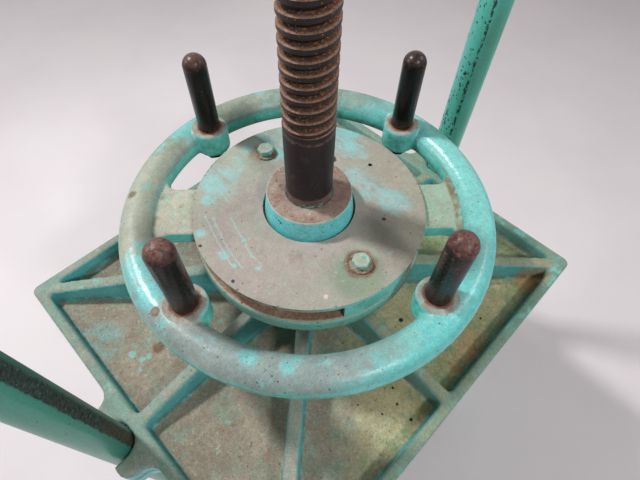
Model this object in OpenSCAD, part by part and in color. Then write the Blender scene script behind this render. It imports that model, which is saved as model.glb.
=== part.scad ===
// Standing screw press, worked by hand. A bed and a crosshead are joined by two round
// columns, a ribbed platen slides between them on forked ends, and a long screw drives it.
// The handwheel swings free between two stop blocks and then turns the screw by hitting them.
// Millimetres. The origin is on the floor under the screw, +X runs through the two columns.

/* [Columns] */
// Distance between the axes of the two columns
column_pitch = 894; // [840:2:980]
// Diameter of a column
column_d = 57; // [52:1:64]
// Diameter of a column's turned-down ends
column_end_d = 45; // [38:1:48]
// Length of a column's end that stands out of its nut
column_end_out = 12; // [6:1:30]
// Width across the flats of a column nut
column_nut_af = 70; // [66:1:78]
// Height of a column nut
column_nut_h = 36; // [28:1:44]
// Outer diameter of the washer under a column nut
column_washer_d = 84; // [80:1:96]
// Thickness of the washer under a column nut
column_washer_t = 6; // [4:1:10]
// Depth of the seat in the bed that holds a column's shoulder
column_seat_in = 4; // [2:1:8]
// Clearance round a column in that seat, outwards
column_seat_gap = 0.25; // [0.1:0.05:0.5]

/* [Bed] */
// Height of the pressing face of the bed above the floor
bed_h = 260; // [230:5:340]
// Width of the bed across the line of the columns
bed_w = 726; // [640:2:800]
// Thickness of the bed plate
bed_plate_t = 34; // [26:1:44]
// Depth of the skirt under the bed plate
bed_skirt_h = 92; // [60:2:120]
// Thickness of the skirt and of the legs
bed_wall_t = 24; // [18:1:32]
// Thickness of the ribs under the bed plate
bed_rib_t = 22; // [16:1:30]
// Width of each leg along both sides of its corner
leg_w = 134; // [110:2:160]
// Thickness of the foot pad under a leg
pad_t = 22; // [16:1:30]
// Diameter of the floor bolt hole in a foot pad
foot_hole_d = 18; // [12:1:24]
// Distance of a floor bolt hole from both edges of its corner
foot_hole_in = 76; // [60:1:90]
// Outer diameter of the bosses that hold the columns
column_boss_d = 130; // [116:2:150]
// Depth of the column bosses of the bed
bed_boss_h = 130; // [110:2:150]

/* [Crosshead] */
// Height of the underside of the crosshead above the floor
crosshead_z = 1520; // [1450:5:1650]
// Height of the crosshead's ends
crosshead_end_h = 150; // [120:5:180]
// Height of the crosshead over its middle
crosshead_mid_h = 214; // [190:2:240]
// Width of the crosshead's flanges, and diameter of its round ends
crosshead_w = 140; // [124:2:180]
// Thickness of the crosshead's web
crosshead_web_t = 46; // [34:1:60]
// Thickness of the crosshead's flanges
crosshead_flange_t = 28; // [20:1:36]
// Outer diameter of the boss that holds the screw nut
crosshead_boss_d = 206; // [196:2:230]
// Drop of that boss under the crosshead
crosshead_boss_drop = 20; // [10:1:30]

/* [Platen] */
// Space between the bed and the platen as the press stands
daylight = 440; // [300:5:470]
// Width of the platen across the line of the columns
platen_w = 726; // [640:2:800]
// Gap between an end of the platen and a column
platen_end_gap = 1.5; // [1:0.5:6]
// Thickness of the platen's floor
platen_floor_t = 30; // [22:1:40]
// Height of the raised edge above the floor
platen_edge_h = 32; // [22:1:44]
// Width of the raised edge
platen_edge_w = 20; // [14:1:28]
// Radius of the platen's corners
platen_corner_r = 12; // [6:1:30]
// Thickness of the ribs
platen_rib_t = 24; // [18:1:30]
// Height of the ribs above the floor at the hub
platen_rib_h = 98; // [70:1:120]
// Diameter of the hub
hub_d = 180; // [172:2:196]
// Height of the hub above the floor
hub_h = 140; // [130:1:170]
// Width of a forked end
fork_w = 134; // [120:2:160]
// Reach of a forked end past the axis of its column
fork_reach = 20; // [0:1:34]
// Radius of a forked end's corners
fork_corner_r = 22; // [10:1:30]
// Radius of the fillet at the root of a forked end
fork_root_r = 26; // [12:1:40]
// Clearance between a fork and its column
fork_gap = 3.5; // [1:0.5:6]

/* [Screw] */
// Diameter of the screw over its thread
screw_d = 70; // [64:1:74]
// Distance the screw moves in one turn
screw_lead = 16.5; // [14:0.5:20]
// Depth of the thread
thread_depth = 8; // [6:0.5:9]
// Width of the thread's crest
thread_crest = 6.8; // [5:0.2:7.4]
// Width of the thread's root
thread_root = 6.2; // [5:0.2:7]
// Height of the plain shank above the drive disc's hub
shank_out = 136; // [90:2:160]
// Diameter of the journal at the foot of the screw
journal_d = 60; // [52:1:64]
// Length of the journal
journal_l = 56; // [44:1:62]
// Diameter of the thrust collar on the screw
collar_d = 96; // [88:1:102]
// Height of the thrust collar
collar_h = 16; // [12:1:20]
// Length of the plain end above the thread
screw_tip_l = 28; // [24:1:40]

/* [Screw nut and bearings] */
// Length of the screw nut's body
screw_nut_h = 130; // [110:2:150]
// Diameter of the screw nut's body
screw_nut_d = 110; // [102:1:116]
// Diameter of the screw nut's flange
screw_nut_flange_d = 170; // [164:1:180]
// Thickness of the screw nut's flange
screw_nut_flange_t = 20; // [14:1:26]
// Gap between the threads, outwards
thread_gap_r = 1; // [0.8:0.1:1.4]
// Gap between the threads, along the screw
thread_gap_z = 0.6; // [0.5:0.1:0.8]
// Wall of the bush that guides the journal
bush_wall = 8; // [5:0.5:10]
// Thickness of the bronze washer under the thrust collar
thrust_washer_t = 8; // [5:0.5:12]
// Thickness of the bronze washer over the thrust collar
lift_washer_t = 4; // [3:0.5:6]
// Thickness of the cap that closes the hub
cap_t = 22; // [16:1:26]
// Step between the rim of the hub and the edge of its cap
cap_step = 5; // [3:0.5:8]
// Running clearance of the shafts, outwards
run_gap = 0.1; // [0.05:0.01:0.15]
// Clearance round the shank where it only passes through, outwards
pass_gap = 0.6; // [0.4:0.1:1.2]
// Gap between flat faces that turn against each other
face_gap = 0.3; // [0.2:0.05:0.4]

/* [Drive disc and cover] */
// Gap between the hub's cap and the drive disc's lower boss
disc_gap = 4; // [3:0.5:8]
// Diameter of the drive disc
disc_d = 374; // [366:2:384]
// Thickness of the drive disc
disc_t = 31; // [26:1:36]
// Diameter of the drive disc's hub where the handwheel turns on it
disc_hub_d = 143; // [136:1:148]
// Diameter of the top of that hub, which tapers above the handwheel
disc_hub_top_d = 132; // [120:1:140]
// Height of the hub's top above the cover
disc_hub_out = 35; // [26:1:50]
// Width of the chamfer round the bore at the hub's top
disc_bore_chamfer = 2; // [1:0.5:4]
// Diameter of the drive disc's lower boss
disc_boss_d = 104; // [98:1:106]
// Depth of the drive disc's lower boss
disc_boss_h = 30; // [26:1:40]
// Distance from the edge of the drive disc in to the edge of the cover
cover_margin = 1; // [0:0.5:4]
// Thickness of the cover
cover_t = 8; // [6:0.5:10]
// Gap between the drive disc's hub and the hole in the cover
cover_hole_gap = 3; // [2:0.5:6]
// Gap between the handwheel's arms and the cover
arm_top_gap = 1.7; // [1:0.1:3]
// Direction of the first stop block, from the +X axis
stop_turn = -100.5; // [-110:0.5:-94]
// Angle that a stop block takes at its rim, each way from its middle
stop_half_angle = 18; // [16:0.5:20]
// Gap between a stop block and the handwheel's hub
stop_hub_gap = 3; // [2:0.5:6]
// Radius on which the stop bolts stand
stop_bolt_r = 135.4; // [130:0.2:142]
// Nominal diameter of a stop bolt
stop_bolt_d = 16; // [12:1:18]
// Diameter of the oil hole in the cover
oil_hole_d = 6; // [4:0.5:8]
// Distance of the oil hole from the screw
oil_hole_r = 135; // [100:1:150]
// Direction of the oil hole, from the +X axis
oil_hole_turn = -5; // [-30:1:30]

/* [Handwheel] */
// Outer diameter of the handwheel
wheel_d = 600; // [580:2:640]
// Thickness of the round rim
rim_d = 56; // [50:1:60]
// Depth of the rim's centre under the top of the cover
rim_drop = 17.2; // [14:0.2:22]
// Width of an arm
arm_w = 92; // [84:1:100]
// Thickness of the arms and the hub
arm_t = 26; // [22:1:27]
// Radius of the fillet where an arm meets the rim
arm_fillet_r = 18; // [10:1:24]
// Direction of the first arm, from the +X axis
wheel_turn = -42.5; // [-54:0.5:-30]
// Outer diameter of the handwheel's hub
wheel_hub_d = 194; // [188:1:204]
// Wall of the bronze bush in the hub
wheel_bush_wall = 8; // [6:0.5:9]
// Thickness of the bronze ring under the hub
wheel_ring_t = 3; // [2:0.5:4]
// Diameter of the bosses that hold the handles
handle_boss_d = 62; // [56:1:68]
// Depth of those bosses
handle_boss_h = 47; // [42:1:52]
// Radius on which the handles stand
handle_r = 245; // [238:1:250]
// Diameter of a handle
handle_d = 38; // [32:1:42]
// Length of a handle above its boss
handle_l = 142; // [110:1:160]
// Diameter of a handle's foot in the boss
handle_foot_d = 24; // [18:1:26]
// Height of the nut under a handle
handle_nut_h = 16; // [12:1:20]
// Width across the flats of that nut
handle_nut_af = 36; // [34:1:41]

/* [Hidden] */
$fn = 96;

// Small overlap that lets one shape of a piece run into the next
eps = 1;
hex_sides = 6;
// Share of a nut's flats that its round face keeps
hex_face = 0.95;
// Angle at which a nut's corners are turned off
hex_angle = 30;

// Heights above the floor, from the bed up to the cover
column_x = column_pitch / 2;
column_tip = 3;
platen_l = column_pitch - column_d - 2 * platen_end_gap;
bed_l = platen_l;
platen_z = bed_h + daylight;
floor_z = platen_z + platen_floor_t;
hub_top_z = floor_z + hub_h;
collar_z = hub_top_z - face_gap - lift_washer_t - collar_h;
journal_z = collar_z - journal_l;
thrust_z = collar_z - thrust_washer_t;
cap_top_z = hub_top_z + cap_t;
disc_boss_z = cap_top_z + disc_gap;
disc_z = disc_boss_z + disc_boss_h;
disc_top_z = disc_z + disc_t;
wheel_space = wheel_ring_t + face_gap + arm_t + arm_top_gap;
cover_z = disc_top_z + wheel_space;
cover_top_z = cover_z + cover_t;
disc_hub_top_z = cover_top_z + disc_hub_out;

// The screw, its thread and its nut
shank_step = 0.5;
shank_d = screw_d + 2 * shank_step;
shank_bore_d = shank_d + 2 * run_gap;
shank_pass_d = shank_d + 2 * pass_gap;
thread_z = disc_hub_top_z + shank_out;
screw_nut_z = crosshead_z - crosshead_boss_drop - screw_nut_flange_t;
screw_nut_top_z = screw_nut_z + screw_nut_flange_t + screw_nut_h;
least_daylight = 20;
turns_down = floor((daylight - least_daylight) / screw_lead);
thread_spare = 14;
thread_top_z = screw_nut_top_z + turns_down * screw_lead + thread_spare;
thread_step_count = 20;
thread_turns = ceil((thread_top_z - thread_z) / screw_lead) + 1;
thread_start_z = thread_top_z - thread_turns * screw_lead;
thread_fade = 0.7;
screw_tip_step = 1;
screw_tip_d = screw_d - 2 * thread_depth + 2 * screw_tip_step;
screw_tip_chamfer = 4;
screw_pass_gap = 2.5;
recess_collar_gap = 0.5;
cap_d = hub_d - 2 * cap_step;

// Fasteners
cap_bolt_d = 12;
cap_bolt_count = 6;
cap_bolt_r = (disc_boss_d + cap_d) / 4;
cap_bolt_depth = 24;
nut_bolt_count = 6;
nut_bolt_r = (screw_nut_d + screw_nut_flange_d) / 4;
bolt_head = 0.65;
nut_height = 0.8;
bolt_flats = 1.5;
stop_washer_d = 36;
stop_washer_t = 3;
stop_nut_h = stop_bolt_d * nut_height;
bolt_hole_gap = 0.5;
key_w = 20;
key_h = 12;
key_l = 62;
key_in = 7.5;
key_gap = 0.3;
key_z = disc_top_z + key_in;
pin_d = 12;
pin_in = 1;

// The handwheel
rim_r = wheel_d / 2 - rim_d / 2;
rim_z = cover_top_z - rim_drop;
arm_z = disc_top_z + wheel_ring_t + face_gap;
rim_inner_r = rim_r - rim_d / 2;
wheel_bush_d = disc_hub_d + 2 * run_gap;
wheel_bore_d = wheel_bush_d + 2 * wheel_bush_wall;
handle_boss_top_z = rim_z + rim_d / 2;
handle_angle = 45;
handle_seat_in = 1;
handle_boss_z = handle_boss_top_z - handle_boss_h;
handle_seat_z = handle_boss_z + handle_seat_in;
handle_thread_out = 3;
handle_seat_gap = 3;
handle_seat_d = handle_nut_af / cos(180 / hex_sides) + 2 * handle_seat_gap;
stop_inner_r = wheel_hub_d / 2 + stop_hub_gap;
cover_hole_d = disc_hub_d + 2 * cover_hole_gap;
cover_d = disc_d - 2 * cover_margin;
// Turn of an arm away from a stop block's middle when the two touch
stop_contact = stop_half_angle + asin(arm_w / cover_d);
wide = wheel_d;

paint = [0.42, 0.66, 0.59];
dust = [0.66, 0.65, 0.56];
steel = [0.30, 0.27, 0.25];
bronze = [0.62, 0.46, 0.26];
black = [0.13, 0.11, 0.11];

// Plan of a plate with round corners
module plate_plan(l, w, r) {
    square([l - 2 * r, w], center = true);
    square([l, w - 2 * r], center = true);
    for (x = [-1, 1], y = [-1, 1])
        translate([x * (l / 2 - r), y * (w / 2 - r)]) circle(r);
}

// Copies its children at both columns
module at_columns() {
    for (x = [-1, 1]) translate([x * column_x, 0, 0]) children();
}

// Copies its children round the screw
module ring_of(count, r) {
    for (i = [0 : count - 1]) rotate(i * 360 / count) translate([r, 0, 0]) children();
}

// A flat ring that stands on z = 0
module flat_ring(outer_d, inner_d, h) {
    difference() {
        cylinder(d = outer_d, h = h);
        translate([0, 0, -eps]) cylinder(d = inner_d, h = h + 2 * eps);
    }
}

// A hexagon prism on z = 0, measured across its flats, with its corners turned off
module hexagon(af, h) {
    corners_d = af / cos(180 / hex_sides);
    face_d = af * hex_face;
    slope = tan(hex_angle);
    intersection() {
        cylinder(d = corners_d, h = h, $fn = hex_sides);
        cylinder(d1 = face_d, d2 = face_d + 2 * h / slope, h = h);
        cylinder(d1 = face_d + 2 * h / slope, d2 = face_d, h = h);
    }
}

// Bed: plate, skirt, ribs, column bosses and four legs in one casting
module bed_casting() {
    skirt_z = bed_h - bed_plate_t - bed_skirt_h;
    boss_z = bed_h - bed_boss_h;
    color(paint)
    difference() {
        union() {
            translate([0, 0, bed_h - bed_plate_t])
                linear_extrude(bed_plate_t) plate_plan(bed_l, bed_w, platen_corner_r);
            translate([0, 0, skirt_z])
                linear_extrude(bed_skirt_h + eps)
                difference() {
                    plate_plan(bed_l, bed_w, platen_corner_r);
                    square([bed_l - 2 * bed_wall_t, bed_w - 2 * bed_wall_t], center = true);
                }
            translate([0, 0, skirt_z]) linear_extrude(bed_skirt_h + eps) bed_rib_plan();
            for (x = [-1, 1], y = [-1, 1]) scale([x, y, 1]) bed_leg();
            at_columns() translate([0, 0, boss_z]) cylinder(d = column_boss_d, h = bed_boss_h);
        }
        at_columns() {
            translate([0, 0, -eps]) cylinder(d = column_end_d, h = bed_h + 2 * eps);
            translate([0, 0, bed_h - column_seat_in])
                cylinder(d = column_d + 2 * column_seat_gap, h = column_seat_in + eps);
        }
    }
}

// Plan of the ribs under the bed: two crossed ribs and a ring under the screw
module bed_rib_plan() {
    square([bed_l - bed_wall_t, bed_rib_t], center = true);
    square([bed_rib_t, bed_w - bed_wall_t], center = true);
    difference() {
        circle(d = hub_d + 2 * bed_rib_t);
        circle(d = hub_d);
    }
}

// One leg, in the corner where x and y are positive: two walls on a flat pad
module bed_leg() {
    difference() {
        linear_extrude(bed_h - bed_plate_t + eps)
            intersection() {
                plate_plan(bed_l, bed_w, platen_corner_r);
                translate([bed_l / 2 - leg_w, bed_w / 2 - leg_w]) square(leg_w);
            }
        translate([bed_l / 2 - leg_w - eps, bed_w / 2 - leg_w - eps, pad_t])
            cube([leg_w - bed_wall_t + eps, leg_w - bed_wall_t + eps, bed_h]);
        translate([bed_l / 2 - foot_hole_in, bed_w / 2 - foot_hole_in, -eps])
            cylinder(d = foot_hole_d, h = pad_t + 2 * eps);
    }
}

// A round column with turned-down ends that pass through the castings
module column() {
    low = bed_h - bed_boss_h - column_washer_t - column_nut_h - column_end_out;
    high = crosshead_z + crosshead_end_h + column_washer_t + column_nut_h + column_end_out;
    tip_d = column_end_d - 2 * column_tip;
    shoulder_z = bed_h - column_seat_in;
    color(paint) {
        translate([0, 0, shoulder_z]) cylinder(d = column_d, h = crosshead_z - shoulder_z);
        translate([0, 0, low + column_tip]) cylinder(d = column_end_d, h = high - low - 2 * column_tip);
        translate([0, 0, low]) cylinder(d1 = tip_d, d2 = column_end_d, h = column_tip);
        translate([0, 0, high - column_tip]) cylinder(d1 = column_end_d, d2 = tip_d, h = column_tip);
    }
}

module column_left() { translate([-column_x, 0, 0]) column(); }
module column_right() { translate([column_x, 0, 0]) column(); }

// Washers and nuts on the columns' lower and upper ends
module column_washers(z) {
    color(steel) at_columns() translate([0, 0, z]) flat_ring(column_washer_d, column_end_d, column_washer_t);
}

module column_nuts(z) {
    color(steel)
    at_columns()
    translate([0, 0, z])
    difference() {
        hexagon(column_nut_af, column_nut_h);
        translate([0, 0, -eps]) cylinder(d = column_end_d, h = column_nut_h + 2 * eps);
    }
}

module column_washers_lower() { column_washers(bed_h - bed_boss_h - column_washer_t); }
module column_nuts_lower() { column_nuts(bed_h - bed_boss_h - column_washer_t - column_nut_h); }
module column_washers_upper() { column_washers(crosshead_z + crosshead_end_h); }
module column_nuts_upper() { column_nuts(crosshead_z + crosshead_end_h + column_washer_t); }

// Side view of the crosshead, drawn in by a margin all round
module crosshead_side(margin) {
    half = column_x - margin;
    seat = column_x - crosshead_w / 2;
    flat = crosshead_boss_d / 2;
    polygon([[-half, margin], [half, margin],
             [half, crosshead_end_h - margin], [seat, crosshead_end_h - margin],
             [flat, crosshead_mid_h - margin], [-flat, crosshead_mid_h - margin],
             [-seat, crosshead_end_h - margin], [-half, crosshead_end_h - margin]]);
}

// Crosshead: a beam of I-section with bosses for the columns and the screw nut
module crosshead_casting() {
    pocket = (crosshead_w - crosshead_web_t) / 2;
    nut_boss_h = crosshead_mid_h + crosshead_boss_drop;
    color(paint)
    translate([0, 0, crosshead_z])
    difference() {
        union() {
            difference() {
                rotate([90, 0, 0])
                    linear_extrude(crosshead_w, center = true) crosshead_side(0);
                for (y = [-1, 1])
                    translate([0, y * (crosshead_web_t / 2 + pocket), 0])
                    rotate([90, 0, 0])
                        linear_extrude(2 * pocket, center = true) crosshead_side(crosshead_flange_t);
            }
            at_columns() cylinder(d = crosshead_w, h = crosshead_end_h);
            translate([0, 0, -crosshead_boss_drop]) cylinder(d = crosshead_boss_d, h = nut_boss_h);
        }
        at_columns() translate([0, 0, -eps])
            cylinder(d = column_end_d, h = crosshead_end_h + 2 * eps);
        translate([0, 0, -crosshead_boss_drop - eps])
            cylinder(d = screw_nut_d, h = screw_nut_h + eps);
        translate([0, 0, -crosshead_boss_drop])
            cylinder(d = screw_d + 2 * screw_pass_gap, h = nut_boss_h + eps);
        translate([0, 0, -crosshead_boss_drop - eps])
            ring_of(nut_bolt_count, nut_bolt_r) cylinder(d = cap_bolt_d, h = cap_bolt_depth + eps);
    }
}

// Distance of a thread's corner from the start of its turn: root, root, crest, crest
function thread_rise(j, gap) =
    let (root = thread_root - 2 * gap, flank = (screw_lead - thread_root - thread_crest) / 2)
    [gap, gap + root, thread_root + flank - gap, thread_root + flank + thread_crest + gap][j];

// Radius of the screw at a corner of its thread. The groove deepens along the first turn
// out of the shank, and a chamfer ends it under the screw's plain tip.
function thread_radius(j, z, turn, from_turn, top, gap_r) =
    let (crest = screw_d / 2 + gap_r,
         depth = thread_depth * min(1, max(0, (turn - from_turn) / thread_fade)),
         chamfer = screw_tip_d / 2 - screw_tip_step + max(-screw_tip_step, top - z) + gap_r)
    min(j < 2 ? crest - depth : crest, chamfer);

// The body of a helical thread, closed at both ends by fans to the axis
module thread_body(start_z, turns, from_turn, top, gap_r, gap_z) {
    last = turns * thread_step_count + ceil(thread_step_count / 4);
    corner_count = 4;
    points = [for (i = [0 : last], j = [0 : corner_count - 1])
                  let (turn = i / thread_step_count,
                       z = start_z + turn * screw_lead + thread_rise(j, gap_z),
                       r = thread_radius(j, z, turn, from_turn, top, gap_r))
                  [r * cos(360 * turn), r * sin(360 * turn), z]];
    low = [0, 0, start_z - eps];
    high = [0, 0, start_z + last / thread_step_count * screw_lead + screw_lead];
    foot = len(points);
    head = foot + 1;
    sides = [for (i = [0 : last - 1], j = [0 : corner_count - 2])
                 let (a = i * corner_count + j, b = a + corner_count)
                 each [[a, a + 1, b + 1], [a, b + 1, b]]];
    turn_points = thread_step_count * corner_count;
    joins = [for (i = [0 : last - thread_step_count - 1])
                 let (a = i * corner_count + corner_count - 1, b = a + corner_count,
                      c = i * corner_count + turn_points, d = c + corner_count)
                 each [[a, c, d], [a, d, b]]];
    bottom = [for (i = [0 : thread_step_count - 1]) [foot, i * corner_count, (i + 1) * corner_count]];
    bottom_step = [[foot, turn_points, 3], [foot, 3, 2], [foot, 2, 1], [foot, 1, 0]];
    first_top = (last - thread_step_count) * corner_count + corner_count - 1;
    end = last * corner_count;
    top_fan = [for (i = [0 : thread_step_count - 1])
                   [head, first_top + (i + 1) * corner_count, first_top + i * corner_count]];
    top_step = [[head, first_top, end], [head, end, end + 1], [head, end + 1, end + 2],
                [head, end + 2, end + 3]];
    polyhedron(concat(points, [low, high]), concat(sides, joins, bottom, bottom_step, top_fan, top_step));
}

// Screw: journal, thrust collar and shank turned on one bar with its long thread
module screw_spindle() {
    color(steel)
    union() {
        difference() {
            union() {
                translate([0, 0, journal_z]) cylinder(d = journal_d, h = journal_l + eps);
                translate([0, 0, collar_z]) cylinder(d = collar_d, h = collar_h);
                translate([0, 0, collar_z]) cylinder(d = shank_d, h = thread_z - collar_z);
            }
            key_space(key_gap);
            pin_space(shank_d + eps);
        }
        thread_body(thread_start_z, thread_turns, (thread_z - thread_start_z) / screw_lead,
                    thread_top_z, 0, 0);
        translate([0, 0, thread_top_z]) cylinder(d = screw_tip_d, h = screw_tip_l - screw_tip_chamfer);
        translate([0, 0, thread_top_z + screw_tip_l - screw_tip_chamfer])
            cylinder(d1 = screw_tip_d, d2 = screw_tip_d - 2 * screw_tip_chamfer, h = screw_tip_chamfer);
    }
}

// Nut with the screw's thread cut in it and a flange that bears on the crosshead
module screw_nut() {
    skipped = floor((screw_nut_z - thread_start_z) / screw_lead) - 2;
    turns = ceil((screw_nut_h + screw_nut_flange_t) / screw_lead) + 4;
    color(bronze)
    difference() {
        translate([0, 0, screw_nut_z]) {
            cylinder(d = screw_nut_flange_d, h = screw_nut_flange_t);
            cylinder(d = screw_nut_d, h = screw_nut_flange_t + screw_nut_h);
        }
        thread_body(thread_start_z + skipped * screw_lead, turns, -1,
                    crosshead_z + wide, thread_gap_r, thread_gap_z);
        translate([0, 0, screw_nut_z - eps])
            ring_of(nut_bolt_count, nut_bolt_r)
            cylinder(d = cap_bolt_d + bolt_hole_gap, h = screw_nut_flange_t + 2 * eps);
    }
}

// A hexagon bolt with its head's underside on z = 0 and its shank hanging down
module bolt(d, l, head_af) {
    hexagon(head_af, d * bolt_head);
    translate([0, 0, -l]) cylinder(d = d, h = l + eps);
}

module screw_nut_bolts() {
    color(steel)
    translate([0, 0, screw_nut_z])
    ring_of(nut_bolt_count, nut_bolt_r)
    rotate([180, 0, 0]) bolt(cap_bolt_d, screw_nut_flange_t + cap_bolt_depth, cap_bolt_d * bolt_flats);
}

// Plan of one forked end of the platen, open away from the screw
module fork_plan() {
    tip = column_x + fork_reach;
    root = platen_l / 2;
    difference() {
        union() {
            translate([root - platen_edge_w, -fork_w / 2])
                square([tip - root + platen_edge_w - fork_corner_r, fork_w]);
            translate([root, -fork_w / 2 + fork_corner_r])
                square([tip - root, fork_w - 2 * fork_corner_r]);
            for (y = [-1, 1])
                translate([tip - fork_corner_r, y * (fork_w / 2 - fork_corner_r)]) circle(fork_corner_r);
            for (y = [-1, 1]) scale([1, y]) difference() {
                translate([root - eps, fork_w / 2 - eps]) square(fork_root_r + eps);
                translate([root + fork_root_r, fork_w / 2 + fork_root_r]) circle(fork_root_r);
            }
        }
        translate([column_x, 0]) circle(d = column_d + 2 * fork_gap);
        translate([column_x, -column_d / 2 - fork_gap])
            square([2 * fork_reach + column_d, column_d + 2 * fork_gap]);
    }
}

// One rib from the hub to the raised edge, its top falling from the hub and ending in the edge
module platen_rib(l) {
    rotate([90, 0, 0])
        linear_extrude(platen_rib_t, center = true)
        polygon([[0, -eps], [l, -eps], [l, platen_edge_h - eps], [hub_d / 2, platen_rib_h],
                 [0, platen_rib_h]]);
}

// Platen: floor, raised edge, eight ribs, hub and forked ends in one casting
module platen_casting() {
    reach_x = platen_l / 2 - platen_edge_w / 2;
    reach_y = platen_w / 2 - platen_edge_w / 2;
    corner_angle = atan2(platen_w, platen_l);
    corner_reach = norm([reach_x, reach_y]) - platen_corner_r / 2;
    lift = floor_z - platen_z;
    color(dust)
    translate([0, 0, platen_z])
    difference() {
        union() {
            difference() {
                linear_extrude(lift + platen_edge_h) plate_plan(platen_l, platen_w, platen_corner_r);
                translate([0, 0, lift])
                    linear_extrude(platen_edge_h + eps)
                    square([platen_l - 2 * platen_edge_w, platen_w - 2 * platen_edge_w], center = true);
            }
            for (x = [-1, 1]) scale([x, 1, 1]) linear_extrude(lift + platen_edge_h) fork_plan();
            translate([0, 0, lift]) {
                for (side = [0, 180]) rotate(side) platen_rib(reach_x);
                for (side = [90, 270]) rotate(side) platen_rib(reach_y);
                for (side = [0, 180], turn = [-1, 1])
                    rotate(side + turn * corner_angle) platen_rib(corner_reach);
                cylinder(d = hub_d, h = hub_h);
            }
        }
        translate([0, 0, journal_z - platen_z - face_gap])
            cylinder(d = journal_d + 2 * run_gap + 2 * bush_wall, h = hub_h);
        translate([0, 0, thrust_z - platen_z])
            cylinder(d = collar_d + 2 * recess_collar_gap, h = hub_h);
        translate([0, 0, hub_top_z - platen_z - cap_bolt_depth])
            ring_of(cap_bolt_count, cap_bolt_r) cylinder(d = cap_bolt_d, h = cap_bolt_depth + eps);
    }
}

// Bronze bush round the journal
module journal_bush() {
    inner = journal_d + 2 * run_gap;
    color(bronze)
    translate([0, 0, journal_z - face_gap])
        flat_ring(inner + 2 * bush_wall, inner, thrust_z - journal_z + face_gap);
}

// Bronze washers under and over the thrust collar
module thrust_washer() {
    color(bronze) translate([0, 0, thrust_z])
        flat_ring(collar_d + 2 * recess_collar_gap, journal_d + 2 * pass_gap, thrust_washer_t - face_gap);
}

module lift_washer() {
    color(bronze) translate([0, 0, hub_top_z - lift_washer_t])
        flat_ring(collar_d + 2 * recess_collar_gap, shank_pass_d, lift_washer_t);
}

// Cap that keeps the screw in the hub, and its bolts
module hub_cap() {
    color(paint)
    translate([0, 0, hub_top_z])
    difference() {
        flat_ring(cap_d, shank_pass_d, cap_t);
        translate([0, 0, -eps]) ring_of(cap_bolt_count, cap_bolt_r)
            cylinder(d = cap_bolt_d + bolt_hole_gap, h = cap_t + 2 * eps);
    }
}

module hub_cap_bolts() {
    color(steel)
    translate([0, 0, cap_top_z])
    ring_of(cap_bolt_count, cap_bolt_r) bolt(cap_bolt_d, cap_t + cap_bolt_depth, cap_bolt_d * bolt_flats);
}

// The space of the key, made longer towards the foot for the keyway of the hub
module key_space(gap, open_l = 0) {
    translate([shank_d / 2 - key_in - gap, -key_w / 2 - gap, key_z - gap - open_l])
        cube([key_h + 2 * gap, key_w + 2 * gap, key_l + 2 * gap + open_l]);
}

// The pin's place, across the screw and the disc's lower boss
module pin_space(l) {
    translate([0, 0, disc_boss_z + disc_boss_h / 2]) rotate([90, 0, 0])
        cylinder(d = pin_d, h = l, center = true);
}

// Drive disc: a flange with a tall hub, keyed and pinned to the screw
module drive_disc() {
    chamfer = 3;
    color(paint)
    difference() {
        union() {
            translate([0, 0, disc_z]) cylinder(d = disc_d, h = disc_t - chamfer);
            translate([0, 0, disc_top_z - chamfer])
                cylinder(d1 = disc_d, d2 = disc_d - 2 * chamfer, h = chamfer);
            translate([0, 0, disc_z]) cylinder(d = disc_hub_d, h = cover_z - disc_z);
            translate([0, 0, cover_z])
                cylinder(d1 = disc_hub_d, d2 = disc_hub_top_d, h = disc_hub_top_z - cover_z);
            translate([0, 0, disc_boss_z]) cylinder(d = disc_boss_d, h = disc_boss_h + eps);
        }
        translate([0, 0, disc_boss_z - eps])
            cylinder(d = shank_bore_d, h = disc_hub_top_z - disc_boss_z + 2 * eps);
        translate([0, 0, disc_hub_top_z - disc_bore_chamfer])
            cylinder(d1 = shank_bore_d, d2 = shank_bore_d + 4 * disc_bore_chamfer,
                     h = 2 * disc_bore_chamfer);
        key_space(key_gap, key_z - disc_boss_z);
        pin_space(disc_boss_d + 2 * eps);
        translate([0, 0, disc_z - eps]) at_stops()
            cylinder(d = stop_bolt_d + bolt_hole_gap, h = disc_t + 2 * eps);
    }
}

module drive_key() { color(steel) key_space(0); }

module drive_pin() { color(steel) pin_space(disc_boss_d - 2 * pin_in); }

// Copies its children at the two stop bolts
module at_stops() {
    for (side = [0, 180]) rotate(stop_turn + side) translate([stop_bolt_r, 0, 0]) children();
}

// Plan of a stop block along +X, with ends that lie flat against the arms
module stop_plan() {
    intersection() {
        difference() {
            circle(d = cover_d);
            circle(stop_inner_r);
        }
        rotate(stop_contact) translate([0, -wide - arm_w / 2]) square([wide, wide]);
        rotate(-stop_contact) translate([0, arm_w / 2]) square([wide, wide]);
    }
}

// Cover with its two stop blocks, in one casting
module stop_cover() {
    color(dust)
    difference() {
        union() {
            translate([0, 0, cover_z]) cylinder(d = cover_d, h = cover_t);
            for (side = [0, 180]) rotate(stop_turn + side)
                translate([0, 0, disc_top_z]) linear_extrude(wheel_space + eps) stop_plan();
        }
        translate([0, 0, cover_z - eps]) cylinder(d = cover_hole_d, h = cover_t + 2 * eps);
        translate([0, 0, disc_top_z - eps]) at_stops()
            cylinder(d = stop_bolt_d + bolt_hole_gap, h = wheel_space + cover_t + 2 * eps);
        rotate(oil_hole_turn) translate([oil_hole_r, 0, cover_z - eps])
            cylinder(d = oil_hole_d, h = cover_t + 2 * eps);
    }
}

module stop_washers() {
    color(steel) translate([0, 0, cover_top_z]) at_stops()
        flat_ring(stop_washer_d, stop_bolt_d + bolt_hole_gap, stop_washer_t);
}

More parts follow.
